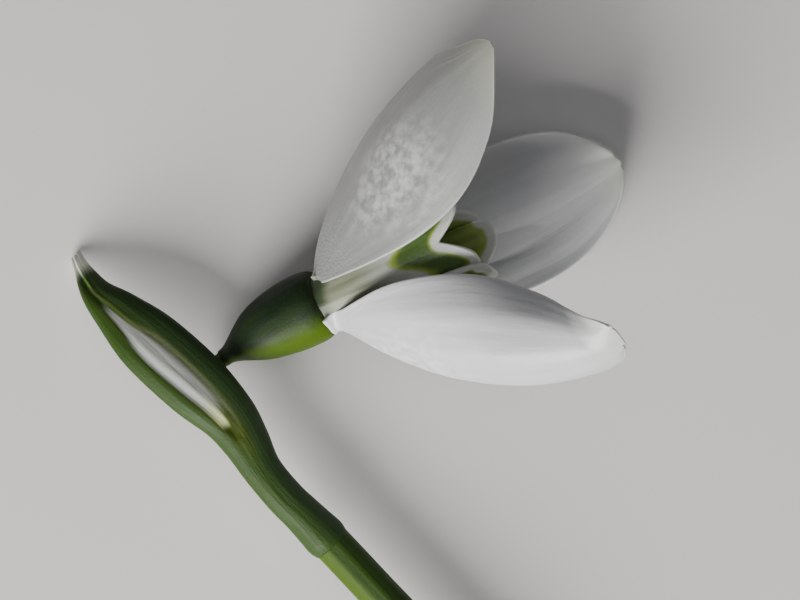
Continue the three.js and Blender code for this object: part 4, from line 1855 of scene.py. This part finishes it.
INNER_TEPALS = (
    InnerTepal(side="front", azimuth=7.0, half_arc=62.0, length=11.35, lean=0.15, claw_angle=56.0, seed=31.0),
    InnerTepal(side="left", azimuth=131.0, half_arc=60.0, length=11.0, lean=0.2, corner_fall=0.25, seed=37.0),
    InnerTepal(
        side="right", azimuth=-116.0, half_arc=88.0, length=11.75, lean=0.45, corner_fall=0.5, flare=0.0,
        left_inset=1.2, seed=41.0,
    ),
)
SCAPE = Stalk(
    name="scape_stem", node="scape", radius=1.28, rings=90, sides=36, slant=24.0, seed=3.0,
    path=(
        (20.5, -45.4, 1.2), (15.9, -38.5, 1.65), (10.4, -31.8, 2.25),
        (4.6, -25.3, 2.8), (-1.1, -19.4, 3.05), (-4.6, -15.7, 3.1), (-5.5, -14.85, 3.2),
    ),
)
PEDICEL = Stalk(
    name="pedicel_stem", node="pedicel", radius=0.53, rings=70, sides=20, ridge=0.01, ridges=5, seed=8.0,
    path=(
        (-4.75, -15.55, 3.1), (-6.32, -14.03, 3.28), (-7.66, -12.73, 3.4), (-9.1, -10.98, 3.45),
        (-10.2, -9.1, 3.35), (-11.3, -7.5, 2.95), (-11.95, -6.1, 2.2), (-12.2, -5.05, 1.6),
        (-12.0, -4.3, 1.28), (-11.45, -3.85, 1.22),
    ),
)
SPATHE = Spathe(
    knots=(
        Knot((-4.5, -15.85, 3.1), 1.5, 1.5, 172), Knot((-6.32, -14.03, 3.3), 1.32, 1.4, 171),
        Knot((-7.66, -12.73, 3.45), 1.29, 1.38, 170), Knot((-9.1, -10.98, 3.55), 1.32, 1.4, 166),
        Knot((-10.2, -9.1, 3.65), 1.6, 1.45, 150), Knot((-11.35, -7.5, 3.75), 1.88, 1.4, 135),
        Knot((-13.4, -5.55, 3.8), 2.25, 1.35, 128), Knot((-16.25, -2.95, 3.4), 2.2, 1.25, 128),
        Knot((-18.2, -1.1, 2.75), 1.65, 1.1, 132), Knot((-19.6, 0.25, 2.1), 1.08, 0.85, 140),
        Knot((-20.5, 1.75, 1.1), 0.62, 0.55, 150), Knot((-20.98, 2.83, 0.3), 0.36, 0.2, 176),
    ),
)
STAMENS = 6
FIRST_STAMEN = 38.0
FILAMENT = ((0, 0.2), (0.5, 0.19), (1.0, 0.17), (1.3, 0.12))
ANTHER = ((0.95, 0.1), (1.15, 0.34), (1.8, 0.44), (3.6, 0.4), (5, 0.28), (5.9, 0.12), (6.4, 0.04))
STYLE = ((0, 0.26), (1, 0.3), (4.5, 0.27), (7.4, 0.2), (7.8, 0.1))


STAMEN_RING = 0.95
STAMEN_LEAN = 2.5
ANTHER_GROOVE = 0.2
PETALS = {
    # The upper tepal is painted grey: painted shade on a white tepal that is turned from the light; its large
    # bright patch is a painted highlight.
    "upper": PetalTissue(
        "upper_petal_tissue", white=(0.245, 0.25, 0.24), vein=(0.185, 0.19, 0.18), highlight_white=(0.68, 0.685, 0.69),
        highlight_share=0.7, highlight_at=(0.25, 0.47), highlight_reach=(0.8, 0.3), grit=0.12,
    ),
    # The lower tepal's light foot is a painted highlight.
    "lower": PetalTissue(
        "lower_petal_tissue", white=(0.54, 0.545, 0.56), tip=(0.50, 0.52, 0.42), foot=(0.78, 0.79, 0.79),
        highlight_share=0.75, highlight_at=(0.25, 0.28), highlight_reach=(0.9, 0.3), grit=0.1,
    ),
    "back": PetalTissue("back_petal_tissue", white=(0.50, 0.505, 0.52), highlight_share=0.15, grit=0.06),
}
CUP_OUTSIDE = CupTissue(CupFace.OUTSIDE)
CUP_INSIDE = CupTissue(CupFace.INSIDE, green=(0.12, 0.19, 0.055), olive=(0.19, 0.26, 0.04), band=0.55)
# Painted light on one side of the scape, the pedicel and the ovary; the ovary's nearly black deep green is
# painted shade on its other side.
SCAPE_SKIN = GreenSkin("scape_skin", painted_lit_share=0.8)
PEDICEL_SKIN = GreenSkin("pedicel_skin", painted_lit_share=0.4)
OVARY_SKIN = GreenSkin(
    "ovary_skin", deep=(0.008, 0.018, 0.009), painted_lit_share=0.95, painted_lit_towards=1.0, lines=6.0,
    contrast=0.2, rim_share=0.85,
)
STYLE_SKIN = GreenSkin("style_skin", deep=(0.45, 0.52, 0.25), fresh=(0.62, 0.67, 0.42))
FILAMENT_SKIN = GreenSkin("filament_skin", deep=(0.62, 0.66, 0.45), fresh=(0.74, 0.76, 0.6))


def build_flower() -> None:
    """Builds every piece of the flower, from the scape to the style."""
    cut = CutFace().material()
    SCAPE.make(SCAPE_SKIN.material(), cut)
    SPATHE.make(SpatheSkin().material())
    PEDICEL.make(PEDICEL_SKIN.material(), cut)
    Ovary().make(OVARY_SKIN.material())
    for tepal in OUTER_TEPALS:
        tepal.make(PETALS[tepal.side].material())
    outside, inside = CUP_OUTSIDE.material(), CUP_INSIDE.material()
    for tepal in INNER_TEPALS:
        tepal.make(outside, inside)
    filament_skin, pollen = FILAMENT_SKIN.material(), PollenCoat().material()
    for index in range(STAMENS):
        azimuth = FIRST_STAMEN + 360.0 / STAMENS * index
        where = {"azimuth": azimuth, "radius": STAMEN_RING, "lean": STAMEN_LEAN}
        node = (f"stamen_{index + 1}",)
        Organ(f"filament_{index + 1}", node, "stamen", FILAMENT, **where).make(filament_skin)
        Organ(f"anther_{index + 1}", node, "stamen", ANTHER, groove=ANTHER_GROOVE, **where).make(pollen)
    Organ("style_column", ("style",), "style", STYLE).make(STYLE_SKIN.material())


def main() -> None:
    """Sets up the studio and builds the flower in it."""
    logging.basicConfig(level=logging.INFO, format="%(name)s: %(message)s")
    Studio().set_up()
    build_flower()


if __name__ == "__main__":
    main()
